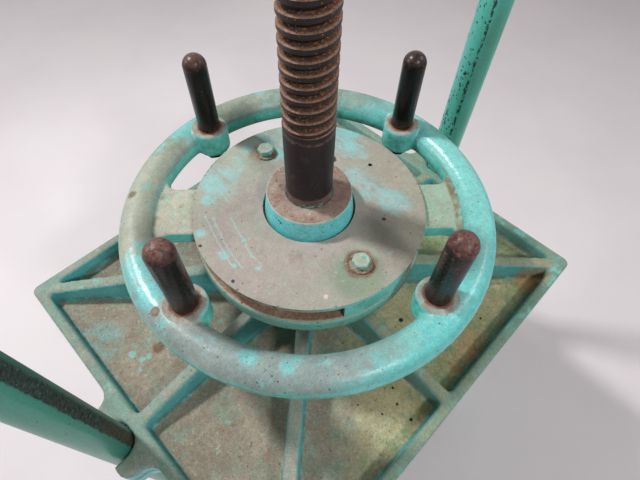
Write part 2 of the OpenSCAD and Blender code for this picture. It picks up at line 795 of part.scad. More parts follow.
module stop_bolts() {
    grip = stop_washer_t + cover_t + wheel_space + disc_t + stop_nut_h + eps;
    color(paint) translate([0, 0, cover_top_z + stop_washer_t]) at_stops()
        bolt(stop_bolt_d, grip, stop_bolt_d * bolt_flats);
}

module stop_nuts() {
    color(steel) translate([0, 0, disc_z - stop_nut_h]) at_stops() difference() {
        hexagon(stop_bolt_d * bolt_flats, stop_nut_h);
        translate([0, 0, -eps]) cylinder(d = stop_bolt_d, h = stop_nut_h + 2 * eps);
    }
}

// Bronze ring that carries the handwheel on the drive disc
module wheel_ring() {
    color(bronze) translate([0, 0, disc_top_z]) flat_ring(wheel_hub_d, disc_hub_d, wheel_ring_t);
}

// Plan of one arm along +X with its fillets against the rim
module arm_plan() {
    round_y = arm_w / 2 + arm_fillet_r;
    round_x = sqrt(pow(rim_inner_r - arm_fillet_r, 2) - pow(round_y, 2));
    touch = rim_inner_r / (rim_inner_r - arm_fillet_r);
    translate([0, -arm_w / 2]) square([rim_r, arm_w]);
    for (y = [-1, 1]) scale([1, y]) difference() {
        polygon([[round_x, arm_w / 2 - eps], [rim_r, arm_w / 2 - eps],
                 [rim_r, round_y], [round_x * touch, round_y * touch]]);
        translate([round_x, round_y]) circle(arm_fillet_r);
    }
}

// Copies its children at the four handles
module at_handles() {
    for (i = [0 : 3]) rotate(wheel_turn + handle_angle + 90 * i) translate([handle_r, 0, 0]) children();
}

// Handwheel: round rim, two flat arms, hub and four handle bosses in one casting, with the
// rim's underside faced off round each handle so that the nut sits flat
module handwheel() {
    color(paint)
    difference() {
        union() {
            translate([0, 0, rim_z]) rotate_extrude() translate([rim_r, 0]) circle(d = rim_d);
            for (side = [0, 180])
                rotate(wheel_turn + side) translate([0, 0, arm_z]) linear_extrude(arm_t) arm_plan();
            translate([0, 0, arm_z]) cylinder(d = wheel_hub_d, h = arm_t);
            translate([0, 0, handle_boss_z]) at_handles() cylinder(d = handle_boss_d, h = handle_boss_h);
        }
        translate([0, 0, arm_z - eps]) cylinder(d = wheel_bore_d, h = arm_t + 2 * eps);
        translate([0, 0, handle_boss_z - eps]) at_handles()
            cylinder(d = handle_foot_d, h = handle_boss_h + 2 * eps);
        translate([0, 0, handle_seat_z - handle_boss_h]) at_handles()
            cylinder(d = handle_seat_d, h = handle_boss_h);
    }
}

module wheel_bush() {
    color(bronze) translate([0, 0, arm_z]) flat_ring(wheel_bore_d, wheel_bush_d, arm_t);
}

// One handle: a straight grip with a round end and a foot through its boss
module handle(i) {
    grip_l = handle_l - handle_d / 2;
    foot_l = handle_boss_top_z - handle_seat_z + handle_nut_h + handle_thread_out;
    color(black)
    rotate(wheel_turn + handle_angle + 90 * i)
    translate([handle_r, 0, handle_boss_top_z]) {
        cylinder(d = handle_d, h = grip_l);
        translate([0, 0, grip_l]) sphere(d = handle_d);
        translate([0, 0, -foot_l]) cylinder(d = handle_foot_d, h = foot_l + eps);
    }
}

module handle_1() { handle(0); }
module handle_2() { handle(1); }
module handle_3() { handle(2); }
module handle_4() { handle(3); }

module handle_nuts() {
    color(steel) translate([0, 0, handle_seat_z - handle_nut_h]) at_handles() difference() {
        hexagon(handle_nut_af, handle_nut_h);
        translate([0, 0, -eps]) cylinder(d = handle_foot_d, h = handle_nut_h + 2 * eps);
    }
}

bed_casting();
column_left();
column_right();
column_washers_lower();
column_nuts_lower();
crosshead_casting();
column_washers_upper();
column_nuts_upper();
screw_nut();
screw_nut_bolts();
platen_casting();
journal_bush();
thrust_washer();
lift_washer();
hub_cap();
hub_cap_bolts();
screw_spindle();
drive_disc();
drive_key();
drive_pin();
stop_cover();
stop_washers();
stop_bolts();
stop_nuts();
wheel_ring();
handwheel();
wheel_bush();
handle_1();
handle_2();
handle_3();
handle_4();
handle_nuts();
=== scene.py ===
# A standing screw press: bed, two columns and crosshead, a ribbed platen that slides between
# the columns, and a long screw with its drive disc, cover and loose handwheel.
# Metres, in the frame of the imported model. +X runs through the columns and +Z up the screw.
import math
import bpy
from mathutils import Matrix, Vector


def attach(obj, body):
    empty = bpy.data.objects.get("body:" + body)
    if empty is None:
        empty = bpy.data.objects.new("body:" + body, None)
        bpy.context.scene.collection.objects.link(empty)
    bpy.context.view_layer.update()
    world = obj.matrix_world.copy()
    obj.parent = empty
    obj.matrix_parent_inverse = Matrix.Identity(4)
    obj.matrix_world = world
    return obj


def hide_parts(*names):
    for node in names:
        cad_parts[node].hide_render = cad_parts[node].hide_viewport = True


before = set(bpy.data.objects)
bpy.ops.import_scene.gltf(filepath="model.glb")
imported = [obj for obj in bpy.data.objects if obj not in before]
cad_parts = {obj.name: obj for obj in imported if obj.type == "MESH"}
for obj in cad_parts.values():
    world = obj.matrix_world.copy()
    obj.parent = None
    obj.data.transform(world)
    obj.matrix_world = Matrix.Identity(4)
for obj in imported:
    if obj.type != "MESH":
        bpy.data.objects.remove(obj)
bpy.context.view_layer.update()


# Bed. One heavy iron casting: a plate on ribs and a skirt, four hollow corner legs and a boss for
# each column. The edges are as cast, and the sea green paint has dulled, with dust on what lies flat.
ALL = 1.0  # the mask of a layer that covers the whole piece


def tone(red, green, blue):
    """A paint colour from its screen values, 0 to 255."""
    parts = [c / 255 for c in (red, green, blue)]
    return tuple(c / 12.92 if c < 0.0405 else ((c + 0.055) / 1.055) ** 2.4 for c in parts) + (1,)


class Finish:
    """A surface built up in layers, as it aged and with painted light and shade: each layer has a mask, a
    colour and a roughness.
    """

    def __init__(self, name, colour, rough, metal=0.0, gloss=0.5):
        self.material = bpy.data.materials.new(name)
        self.material.use_nodes = True
        self.tree = self.material.node_tree
        self.shader = self.tree.nodes["Principled BSDF"]
        self.place = self.add("ShaderNodeTexCoord").outputs["Object"]
        self.facing = self.add("ShaderNodeTexCoord").outputs["Normal"]
        self.colour, self.rough, self.metal, self.height = tone(*colour), rough, metal, None
        self.put(self.shader.inputs["Specular IOR Level"], gloss)

    def put(self, socket, value):
        if isinstance(value, bpy.types.NodeSocket):
            self.tree.links.new(value, socket)
        else:
            socket.default_value = value

    def add(self, kind, values=None, **settings):
        node = self.tree.nodes.new(kind)
        for key, value in settings.items():
            setattr(node, key, value)
        for key, value in (values or {}).items():
            self.put(node.inputs[key], value)
        return node

    def sum(self, kind, a, b=0.0, c=0.0):
        return self.add("ShaderNodeMath", {0: a, 1: b, 2: c}, operation=kind).outputs[0]

    def vector(self, kind, a, b=(0, 0, 0), c=(0, 0, 0)):
        return self.add("ShaderNodeVectorMath", {0: a, 1: b, 2: c}, operation=kind).outputs[0]

    def measure(self, kind, a, b=(0, 0, 0)):
        """A single number from one or two places."""
        return self.add("ShaderNodeVectorMath", {0: a, 1: b}, operation=kind).outputs["Value"]

    def moved(self, stretch, *location):
        values = {"Vector": self.place, "Scale": stretch, "Location": location}
        return self.add("ShaderNodeMapping", values).outputs[0]

    def between(self, value, low, high):
        """A soft step, 0 at low and 1 at high."""
        values = {"Value": value, "From Min": low, "From Max": high}
        return self.add("ShaderNodeMapRange", values, interpolation_type="SMOOTHSTEP").outputs[0]

    def cloud(self, size, detail=4.0, rough=0.6, shift=0.0, stretch=(1, 1, 1), out=0):
        """Uneven grain of about that size, in metres."""
        plain = stretch == (1, 1, 1) and not shift
        spot = self.place if plain else self.moved(stretch, shift, shift * 0.7, shift * 0.3)
        values = {"Vector": spot, "Scale": 1 / size, "Detail": detail, "Roughness": rough}
        return self.add("ShaderNodeTexNoise", values).outputs[out]

    def blotches(self, size, low, high, *shape):
        """A mask in patches with soft edges. The shape goes on as in cloud."""
        return self.between(self.cloud(size, *shape), low, high)

    def chips(self, size, share, reach, shift=0.0, stretch=(1, 1, 1)):
        """Small ragged chips: share of the cells of that size hold one that fills reach of its cell."""
        spot = self.moved(stretch, shift, shift * 0.6, shift * 0.2)
        wave = self.add(
            "ShaderNodeTexNoise", {"Vector": spot, "Scale": 0.6 / (size * reach), "Detail": 2.0})
        push = size * reach * 3.2
        wave = self.vector("MULTIPLY_ADD", wave.outputs[1], (push,) * 3, (-push / 2,) * 3)
        spot = self.vector("ADD", spot, wave)
        cells = self.add("ShaderNodeTexVoronoi", {"Vector": spot, "Scale": 1 / size})
        chosen = self.add("ShaderNodeSeparateXYZ", {0: cells.outputs["Color"]}).outputs[0]
        dot = self.between(cells.outputs["Distance"], reach, reach * 0.7)
        return self.both(dot, self.between(chosen, share, share * 0.95))

    def frayed(self, value, amount, grain, detail=6.0):
        """A value moved up and down by an amount, so that an edge taken from it is ragged."""
        if not amount:
            return value
        wave = self.sum("SUBTRACT", self.cloud(grain, detail, 0.7), 0.5)
        return self.sum("MULTIPLY_ADD", wave, amount, value)

    def towards(self, direction, low, high, ragged=0.0, grain=0.03):
        """A mask of the faces that look in a direction."""
        look = self.measure("DOT_PRODUCT", self.facing, direction)
        return self.between(self.frayed(look, ragged, grain), low, high)

    def upward(self, *limits, **edge):
        return self.towards((0, 0, 1), *limits, **edge)

    def past(self, direction, low, high, ragged=0.0, grain=0.05):
        """A mask by how far a place lies along a direction, in metres."""
        reach = self.measure("DOT_PRODUCT", self.place, direction)
        return self.between(self.frayed(reach, ragged, grain), low, high)

    def near(self, point, radius, soft, ragged, grain=0.02):
        """A mask round a point, with a ragged edge."""
        gap = self.measure("DISTANCE", self.place, point)
        gap = self.frayed(gap, ragged * radius * 2, grain, 5)
        return self.between(gap, radius * (1 + soft / 2), radius * (1 - soft / 2))

    def scratch(self, level, width, *points):
        """A mask along a scratch that bends from point to point on a level face."""
        wave = self.cloud(0.012, 4, 0.7, out=1)
        wave = self.vector("MULTIPLY_ADD", wave, (0.006, 0.006, 0), (-0.003, -0.003, 0))
        spot = self.vector("ADD", self.place, wave)
        nearest = 1.0
        for start, end in zip(points, points[1:]):
            start = Vector((*start, level))
            way = Vector((*end, level)) - start
            reach = self.vector("SUBTRACT", spot, tuple(start))
            share = self.measure("DOT_PRODUCT", reach, tuple(way / way.length_squared))
            share = self.add("ShaderNodeClamp", {"Value": share}).outputs[0]
            foot = self.add("ShaderNodeVectorMath", {0: tuple(way), 3: share}, operation="SCALE")
            nearest = self.sum("MINIMUM", nearest, self.measure("DISTANCE", reach, foot.outputs[0]))
        return self.between(nearest, width * 0.75, width * 0.25)

    def axis(self, index):
        return self.add("ShaderNodeSeparateXYZ", {0: self.place}).outputs[index]

    def radius(self, x=0.0, y=0.0):
        """Distance from an upright axis."""
        away = self.vector("SUBTRACT", self.place, (x, y, 0))
        return self.measure("LENGTH", self.vector("MULTIPLY", away, (1, 1, 0)))

    def by_height(self, low, high):
        return self.between(self.axis(2), low, high)

    def by_radius(self, low, high):
        return self.between(self.radius(), low, high)

    def both(self, *masks, kind="MULTIPLY"):
        result = masks[0]
        for mask in masks[1:]:
            result = self.sum(kind, result, mask)
        return result

    def either(self, *masks):
        return self.both(*masks, kind="MAXIMUM")

    def without(self, mask, share=1.0):
        """What a mask leaves, where share of it is taken off."""
        return self.sum("MULTIPLY_ADD", mask, -share, 1)

    def layer(self, where, colour, rough=None, share=1.0, metal=None):
        """Lays a colour over what is there, within a mask or several, as far as the share covers."""
        mask = self.both(*where) if isinstance(where, tuple) else where
        if share != 1.0:
            mask = self.both(mask, share)
        values = {0: mask, 6: self.colour, 7: tone(*colour)}
        self.colour = self.add("ShaderNodeMix", values, data_type="RGBA").outputs[2]
        if rough is not None:
            self.rough = self.add("ShaderNodeMix", {0: mask, 2: self.rough, 3: rough}).outputs[0]
        if metal is not None:
            self.metal = self.add("ShaderNodeMix", {0: mask, 2: self.metal, 3: metal}).outputs[0]

    def spread(self, where, spots, *paint, **more):
        masks = where if isinstance(where, tuple) else (where,)
        self.layer((*masks, spots), *paint, **more)

    def patches(self, where, shape, *paint, **more):
        """A layer in blotches: their size, low, high, detail, rough, shift and stretch, then the paint."""
        self.spread(where, self.blotches(*shape), *paint, **more)

    def specks(self, where, shape, *paint, **more):
        """A layer in chips: their size, share, reach, shift and stretch, then the paint."""
        self.spread(where, self.chips(*shape), *paint, **more)

    def grain(self, *kinds):
        """Makes the colour uneven: for each size, up to a depth darker and lighter, with a shift."""
        for size, depth, shift in kinds:
            mask = self.between(self.cloud(size, 3, 0.7, shift), 0.28, 0.72)
            values = {"Value": mask, "To Min": 1 - depth, "To Max": 1 + depth}
            values = {0: self.colour, 3: self.add("ShaderNodeMapRange", values).outputs[0]}
            self.colour = self.add("ShaderNodeVectorMath", values, operation="SCALE").outputs[0]

    def raise_by(self, mask, amount):
        """Raises the surface by an amount in metres where the mask is 1."""
        step = self.both(mask, amount)
        self.height = step if self.height is None else self.sum("ADD", self.height, step)

    def bumps(self, *kinds):
        """Raises the surface unevenly, by each amount in metres, in a cloud of that shape."""
        for amount, *shape in kinds:
            self.raise_by(self.cloud(*shape), amount)

    def done(self):
        for name, value in (
                ("Base Color", self.colour), ("Roughness", self.rough), ("Metallic", self.metal)):
            self.put(self.shader.inputs[name], value)
        if self.height is not None:
            bump = self.add("ShaderNodeBump", {"Height": self.height, "Strength": 1, "Distance": 1.0})
            self.put(self.shader.inputs["Normal"], bump.outputs[0])
        return self.material


def old_green_paint(name, dusty=0.5, rusty=0.5):
    """Sea green machine paint with runs, dust on what lies flat, dark chips, a little rust and painted
    shade below.
    """
    paint = Finish(name, (78, 148, 132), 0.4)
    paint.patches(ALL, (0.13, 0.38, 0.64, 5), (100, 172, 154), 0.36)
    paint.patches(
        paint.upward(0.3, -0.2), (0.03, 0.5, 0.72, 4, 0.6, 3.1, (1, 1, 0.12)), (56, 116, 102), 0.5, 0.7)
    # Painted shade: faces that look down are painted a darker green.
    paint.layer(paint.upward(-0.3, -0.8), (52, 104, 92), 0.55, 0.7)
    flat = paint.upward(0.3, 0.85, ragged=0.5)
    paint.patches(
        flat, (0.1, 0.62 - dusty / 2, 0.82 - dusty / 2, 6, 0.65, 1.7), (164, 166, 146), 0.85, 0.85)
    paint.patches(flat, (0.05, 0.55, 0.7, 6, 0.7, 4.4), (142, 126, 104), 0.9, 0.6)
    paint.specks(ALL, (0.022, rusty * 0.5, 0.11), (96, 60, 44), 0.85)
    paint.specks(ALL, (0.014, 0.25, 0.09, 5), (36, 46, 42), 0.7)
    paint.grain((0.0028, 0.14, 0), (0.014, 0.1, 3))
    paint.bumps((0.0003, 0.005, 3), (0.001, 0.03, 2))
    return paint


def give(piece, name, kind, **settings):
    modifier = piece.modifiers.new(name, kind)
    for key, value in settings.items():
        setattr(modifier, key, value)
    return modifier.name


def dress(name, finish, edge=0.0012, rings=2):
    """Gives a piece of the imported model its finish, and breaks its sharp edges."""
    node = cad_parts[name]
    if not node.material_slots:
        node.data.materials.append(None)
    for place in node.material_slots:
        place.link = "OBJECT"
        place.material = finish
    give(node, "joined faces", "WELD", merge_threshold=0.00002)
    give(node, "whole faces", "DECIMATE", decimate_type="DISSOLVE", angle_limit=math.radians(0.6))
    give(
        node, "broken edges", "BEVEL", width=edge, segments=rings, limit_method="ANGLE",
        angle_limit=math.radians(32))


dress("bed_casting", old_green_paint("bed paint").done(), 0.004, 3)


# Columns. Round bars, painted with the frame, with turned-down ends that pass through the bosses.
# Specks and a line of chips run down the right one, and black grease has dried along the left one.
def pick_nothing():
    if bpy.context.mode != "OBJECT":
        bpy.ops.object.mode_set(mode="OBJECT")
    bpy.ops.object.select_all(action="DESELECT")


def only(piece):
    pick_nothing()
    piece.select_set(True)
    bpy.context.view_layer.objects.active = piece


edit = bpy.ops.mesh


def open_mesh(piece):
    """Opens a piece for editing, with its whole mesh selected."""
    only(piece)
    bpy.ops.object.mode_set(mode="EDIT")
    edit.select_all(action="SELECT")


def use_modifier(piece, name, kind, **settings):
    """Adds a modifier and applies it."""
    only(piece)
    bpy.ops.object.modifier_apply(modifier=give(piece, name, kind, **settings))


def settle(piece):
    only(piece)
    bpy.ops.object.transform_apply(location=True, rotation=True, scale=True)


def smooth(piece, degrees):
    only(piece)
    bpy.ops.object.shade_smooth_by_angle(angle=math.radians(degrees))


def turned(name, profile, bored=False, steps=96, edge=0.0):
    """A piece turned about an upright axis. The profile is radius and height in millimetres."""
    pick_nothing()
    radius, height = profile[0]
    edit.primitive_circle_add(
        vertices=steps, radius=radius / 1000, location=(0, 0, height / 1000),
        fill_type="NOTHING" if bored else "NGON")
    piece = bpy.context.object
    piece.name = name
    open_mesh(piece)
    edit.select_mode(type="EDGE")
    for new_radius, new_height in profile[1:] + (profile[:1] if bored else []):
        rise = (0, 0, (new_height - height) / 1000)
        edit.extrude_edges_move(TRANSFORM_OT_translate={"value": rise})
        share = max(new_radius, 0.001) / radius
        bpy.ops.transform.resize(value=(share, share, 1), center_override=(0, 0, new_height / 1000))
        radius, height = max(new_radius, 0.001), new_height
    if not bored:
        if radius <= 0.001:
            edit.merge(type="COLLAPSE")
        else:
            edit.edge_face_add()
    edit.select_all(action="SELECT")
    edit.remove_doubles(threshold=0.00001)
    edit.normals_make_consistent(inside=False)
    settle(piece)
    if edge:
        use_modifier(
            piece, "broken edges", "BEVEL", width=edge, segments=2, limit_method="ANGLE",
            angle_limit=math.radians(25))
    smooth(piece, 35)
    return piece


def copy_of(piece, name, shift=(0, 0, 0), turn=0.0):
    """A copy with its own mesh, moved and turned about the screw's axis."""
    only(piece)
    bpy.ops.object.duplicate()
    twin = bpy.context.object
    twin.name = name
    twin.location = shift
    twin.rotation_euler = (0, 0, turn)
    settle(twin)
    return twin


def join(pieces):
    """Joins pieces to the first of them."""
    pick_nothing()
    for piece in pieces:
        piece.select_set(True)
    bpy.context.view_layer.objects.active = pieces[0]
    bpy.ops.object.join()
    return bpy.context.object


def on_circle(radius, degrees):
    """A place on a circle about the screw's axis."""
    turn = math.radians(degrees)
    return radius * math.cos(turn), radius * math.sin(turn)


def finish_piece(piece, finish, body, slot, *nodes):
    piece.data.materials.clear()
    piece.data.materials.append(finish)
    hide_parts(*nodes)
    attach(piece, body)


def column_enamel(name):
    """The columns' paint: glossier than the castings', since hands and cloths reach it."""
    enamel = Finish(name, (72, 152, 132), 0.3)
    enamel.patches(ALL, (0.06, 0.4, 0.7, 4, 0.6, 0, (1, 1, 0.25)), (88, 172, 150), 0.27)
    enamel.patches(ALL, (0.02, 0.55, 0.75, 5, 0.6, 4, (1, 1, 0.1)), (54, 124, 106), 0.4, 0.6)
    enamel.bumps((0.0002, 0.004, 3, 0.6, 0, (1, 1, 0.5)), (0.0004, 0.02, 2, 0.6, 0, (1, 1, 0.4)))
    return enamel


right = column_enamel("right column paint")
right.patches(ALL, (0.05, 0.2, 0.5, 4, 0.6, 3, (1, 1, 0.2)), (94, 196, 182), 0.3, 0.8)
speck_side = (-0.39, 0.92, 0)
speckled = right.towards(speck_side, -0.12, 0.1)
right.specks(speckled, (0.013, 0.85, 0.24, 0, (1, 1, 0.5)), (24, 38, 34), 0.6)
right.specks(speckled, (0.008, 0.8, 0.22, 2, (1, 1, 0.6)), (34, 58, 52), 0.6)
beside = right.sum("ABSOLUTE", right.measure("DOT_PRODUCT", right.facing, speck_side))
line = right.both(
    right.between(beside, 0.12, 0.05), right.towards((-0.92, -0.39, 0), 0.3, 0.6),
    right.blotches(0.006, 0.44, 0.52, 3, 0.6, 6, (1, 1, 0.6)))
cluster = right.blotches(0.05, 0.42, 0.56, 5, 0.6, 6, (1, 1, 0.35))
right.specks((speckled, cluster), (0.006, 0.9, 0.3, 4, (1, 1, 0.5)), (20, 34, 32), 0.6)
right.layer(line, (24, 42, 38), 0.6)
right.specks(ALL, (0.02, 0.3, 0.08, 9), (60, 50, 42), 0.7)
right.grain((0.003, 0.1, 0))

left = column_enamel("left column paint")
left.layer(ALL, (58, 134, 118), share=0.6)
band_side = (0.919, 0.394, 0)
# Painted shade: the side towards band_side is painted a darker green.
left.layer(left.towards(band_side, 0, 0.5), (54, 108, 94), 0.4, 0.8)
reach = left.both(left.by_height(0.58, 0.74), left.by_height(1.44, 1.3))
greasy = left.both(
    left.towards(band_side, 0.12, 0.22, ragged=0.25, grain=0.01),
    left.towards(band_side, 0.86, 0.7, ragged=0.25, grain=0.01), reach)
left.layer(greasy, (36, 50, 44), 0.6, 0.92)
left.patches(greasy, (0.0055, 0.48, 0.56, 4, 0.75), (14, 18, 18), 0.7)
left.patches(greasy, (0.0045, 0.58, 0.63, 4, 0.75, 3), (96, 126, 114), 0.5)
left.patches((greasy, left.by_height(0.9, 0.82)), (0.02, 0.35, 0.6, 6), (84, 68, 48), 0.7)
left.specks(ALL, (0.012, 0.25, 0.1, 2), (26, 38, 34), 0.7)
left.raise_by(left.both(greasy, left.blotches(0.0035, 0.45, 0.6, 3, 0.7)), 0.0004)
left.grain((0.003, 0.1, 0))

column_profile = [
    (19.5, 76.2), (22.4, 79), (22.4, 256.2), (28.45, 256.2), (28.45, 1519.9), (22.4, 1519.9),
    (22.4, 1721), (19.5, 1723.9)]
column_x = 0.447
column = turned("column_left_bar", column_profile, edge=0.0006)
column_right = copy_of(column, "column_right_bar", (column_x, 0, 0))
column.location = (-column_x, 0, 0)
settle(column)
finish_piece(column, left.done(), "frame", "column_paint", "column_left")
finish_piece(column_right, right.done(), "frame", "column_paint", "column_right")

steel = Finish("fastener steel", (60, 52, 48), 0.42, metal=0.55)
steel.patches(ALL, (0.03, 0.4, 0.7), (82, 72, 66), 0.36)
steel.patches(ALL, (0.014, 0.56, 0.66, 6, 0.7, 2.2), (112, 74, 52), 0.85, metal=0.1)
steel.specks(ALL, (0.008, 0.4, 0.12), (30, 26, 24), 0.7, metal=0.1)
steel.bumps((0.0002, 0.003, 4, 0.7))
fastener_steel = steel.done()
for name in ("column_washers_lower", "column_nuts_lower", "column_washers_upper", "column_nuts_upper"):
    dress(name, fastener_steel)


# Crosshead. An I-beam casting with round ends over the columns and a deep boss for the screw nut.
# It has the bed's paint, with less dust, since it is high up and out of reach.
dress("crosshead_casting", old_green_paint("crosshead paint", 0.3, 0.3).done(), 0.0035, 3)


# Screw nut. A flanged bronze nut, bored and threaded, that six bolts hold up into the crosshead.
bronze = Finish("oily bronze", (132, 98, 52), 0.38, metal=0.8)
bronze.patches(ALL, (0.03, 0.4, 0.65), (96, 72, 44), 0.5)
bronze.patches(ALL, (0.008, 0.58, 0.66, 4, 0.6, 3), (52, 44, 34), 0.7, metal=0.3)
bronze.bumps((0.0001, 0.004, 3))
bronze_finish = bronze.done()
dress("screw_nut", bronze_finish, 0.0004, 1)
dress("screw_nut_bolts", fastener_steel, 0.0006)


# Platen. A flat tray of cast iron with a raised edge, eight ribs that fall from the hub to the edge,
# and a forked end round each column. Grit, oil and rust have settled on its floor between the ribs.
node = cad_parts["platen_casting"]
platen = node.copy()
platen.data = node.data.copy()
platen.parent = None
platen.modifiers.clear()
platen.name = "platen"
bpy.context.collection.objects.link(platen)
for key in list(platen.keys()):
    del platen[key]
open_mesh(platen)
edit.remove_doubles(threshold=0.00002)
use_modifier(platen, "cast skin", "REMESH", mode="VOXEL", voxel_size=0.0042)
use_modifier(platen, "soft edges", "SMOOTH", factor=0.5, iterations=5)
use_modifier(platen, "fewer faces", "DECIMATE", ratio=0.8)
only(platen)
bpy.ops.object.shade_smooth()

grit = Finish("platen paint and grit", (98, 190, 192), 0.34)
grit.patches(ALL, (0.06, 0.4, 0.65), (86, 176, 178), 0.36)
# Painted shade: faces that look down are painted darker.
grit.layer(grit.upward(-0.2, -0.7), (50, 102, 92), 0.5)
flat = grit.upward(0.8, 0.95)
tray = 0.732  # the height of the floor between the ribs
on_ribs = grit.both(grit.upward(0.45, 0.85, ragged=0.35, grain=0.015), grit.by_height(0.733, 0.738))
on_floor = grit.both(flat, grit.by_height(0.737, 0.733))
front_right = grit.past((0.707, -0.707, 0), 0.02, 0.16, ragged=0.2)
oily_and_lit = grit.both(on_floor, front_right)
lit_side = grit.towards((-0.707, 0.3, 0), 0.35, 0.8, ragged=0.3)
grit.layer(lit_side, (132, 158, 142), 0.7, 0.75)
# Dust on the tops of the ribs and of the edge, greener where hands and cloths have been over it.
grit.layer(on_ribs, (160, 155, 140), 0.85, 0.9)
grit.patches(on_ribs, (0.03, 0.52, 0.64, 7, 0.72, 5), (142, 124, 108), 0.85, 0.6)
grit.patches(on_ribs, (0.07, 0.45, 0.62, 6, 0.65, 2), (126, 156, 142), 0.7, 0.8)
grit.layer((on_ribs, front_right), (140, 152, 122), 0.7, 0.65)
grit.patches(on_ribs, (0.025, 0.6, 0.66, 5, 0.6, 12), (112, 180, 168), 0.5, 0.7)
outer = grit.either(
    grit.between(grit.sum("ABSOLUTE", grit.axis(0)), 0.386, 0.394),
    grit.between(grit.sum("ABSOLUTE", grit.axis(1)), 0.338, 0.346))
grit.patches((outer, on_ribs), (0.05, 0.35, 0.6, 6, 0.6, 15), (112, 146, 132), 0.6, 0.75)
corner = grit.both(outer, on_ribs, grit.past((0.8, -0.6, 0), 0.3, 0.36))
grit.patches(corner, (0.07, 0.3, 0.5, 6, 0.6, 25), (104, 142, 124), 0.5, 0.8)
grit.patches(corner, (0.03, 0.5, 0.6, 6, 0.6, 35), (122, 190, 180), 0.45, 0.8)
# The floor on the left: fine grey sand, with pale worn spots of turquoise.
grit.layer(on_floor, (158, 147, 131), 0.93)
grit.patches(on_floor, (0.11, 0.42, 0.6, 7, 0.68), (139, 129, 114), 0.93, 0.9)
grit.patches(on_floor, (0.06, 0.5, 0.62, 7, 0.72, 8), (136, 152, 134), 0.9, 0.75)
grit.patches(on_floor, (0.03, 0.54, 0.64, 7, 0.75, 3), (150, 124, 104), 0.9, 0.6)
grit.specks((on_floor, grit.without(front_right)), (0.036, 0.6, 0.13, 2), (142, 182, 170), 0.7, 0.6)
grit.patches(on_floor, (0.02, 0.6, 0.66, 6, 0.7, 17), (128, 178, 168), 0.7, 0.6)
# The floor on the right: a film of old oil over green paint, with rust towards the edge.
# Painted light: these colours are painted paler than the oil film is, where the rim's shadow falls on this
# floor.
grit.layer(oily_and_lit, (182, 172, 132), 0.8)
grit.patches(oily_and_lit, (0.09, 0.44, 0.58, 7, 0.7, 11), (124, 152, 112), 0.7, 0.8)
grit.patches(oily_and_lit, (0.05, 0.52, 0.62, 7, 0.7, 21), (186, 186, 152), 0.8, 0.7)
rusty = grit.both(grit.past((0.3, -0.95, 0), 0.27, 0.36, ragged=0.16), grit.past((1, 0, 0), 0.22, 0.1))
grit.patches((oily_and_lit, rusty), (0.045, 0.36, 0.54, 7, 0.7, 14), (188, 140, 90), 0.9, 0.8)
grit.patches(oily_and_lit, (0.03, 0.6, 0.68, 7, 0.72, 24), (146, 104, 72), 0.9, 0.6)
# Painted light: the rust spot at the front right corner is painted paler, where the rim's shadow falls on
# it.
grit.layer((grit.near((0.341, -0.325, tray), 0.035, 0.8, 0.7), front_right), (184, 132, 82), 0.9, 0.7)
# Painted shade: the foot of the ribs and of the edge, just above the floor, is painted darker in patches.
foot = grit.both(
    grit.by_height(0.746, 0.734), grit.by_height(0.7295, 0.7315), grit.without(flat),
    grit.blotches(0.02, 0.3, 0.55, 6, 0.7, 6))
grit.layer(foot, (110, 98, 76), 0.9, 0.75)
for x, y, size in (
        (-0.347, 0.125, 0.0075), (-0.339, 0.103, 0.0065), (-0.326, 0.099, 0.0055), (-0.309, 0.128, 0.004),
        (-0.352, 0.09, 0.004), (-0.282, 0.07, 0.0045), (-0.262, -0.01, 0.0045), (-0.235, -0.052, 0.004)):
    grit.layer((on_floor, grit.near((x, y, tray), size, 0.35, 0.45, 0.006)), (130, 182, 172), 0.6, 0.85)
grit.layer((on_floor, grit.near((-0.304, 0.102, tray), 0.011, 0.8, 0.9, 0.008)), (112, 78, 58), 0.9, 0.8)
grit.patches(
    (on_floor, grit.near((-0.376, 0.19, tray), 0.04, 0.8, 1, 0.03)), (0.03, 0.35, 0.5, 7, 0.7),
    (122, 168, 162), 0.6, 0.7)
for x, y, size in (
        (-0.043, -0.264, 0.0026), (-0.06, -0.288, 0.0028), (-0.092, -0.28, 0.0022), (-0.063, -0.322, 0.003),
        (-0.111, -0.239, 0.0018), (0.072, -0.189, 0.0045), (0.02, -0.33, 0.0022), (0.19, -0.3, 0.0024)):
    grit.layer(grit.near((x, y, 0.7305), size, 0.4, 0.4, 0.004), (30, 30, 22), 0.9)
grit.specks(ALL, (0.016, 0.35, 0.08, 4), (60, 50, 42), 0.9)
grit.specks(ALL, (0.026, 0.3, 0.09, 7), (120, 78, 62), 0.9, 0.8)
grit.patches(on_floor, (0.007, 0.585, 0.63, 5, 0.75, 41), (178, 166, 150), 0.9, 0.75)
grit.patches(on_floor, (0.008, 0.6, 0.64, 5, 0.75, 43), (132, 96, 80), 0.9, 0.7)
grit.patches(on_floor, (0.006, 0.62, 0.66, 5, 0.75, 47), (84, 78, 66), 0.9, 0.7)
grit.grain((0.0023, 0.2, 0), (0.007, 0.12, 4), (0.03, 0.08, 9))
grit.raise_by(grit.both(on_floor, grit.cloud(0.0026, 4, 0.75)), 0.0007)
grit.bumps((0.0003, 0.005, 4, 0.7), (0.001, 0.05, 2))
finish_piece(platen, grit.done(), "platen", "dusty_paint", "platen_casting")

dress("hub_cap", old_green_paint("hub cap paint", 0.6).done(), 0.0015)
dress("hub_cap_bolts", fastener_steel, 0.0006)
for name in ("journal_bush", "thrust_washer", "lift_washer"):
    dress(name, bronze_finish, 0.0004, 1)


# Screw. One bar of steel, turned and threaded, black with old oil and grease. The upper flanks of
# the thread have caught rusty dust, and the shank's foot has a paler band with specks of paint.
def cut_off(piece, point, way):
    """Saws off what lies beyond a point in a direction, and closes the cut."""
    open_mesh(piece)
    edit.bisect(plane_co=point, plane_no=way, use_fill=True, clear_outer=True)
    bpy.ops.object.mode_set(mode="OBJECT")


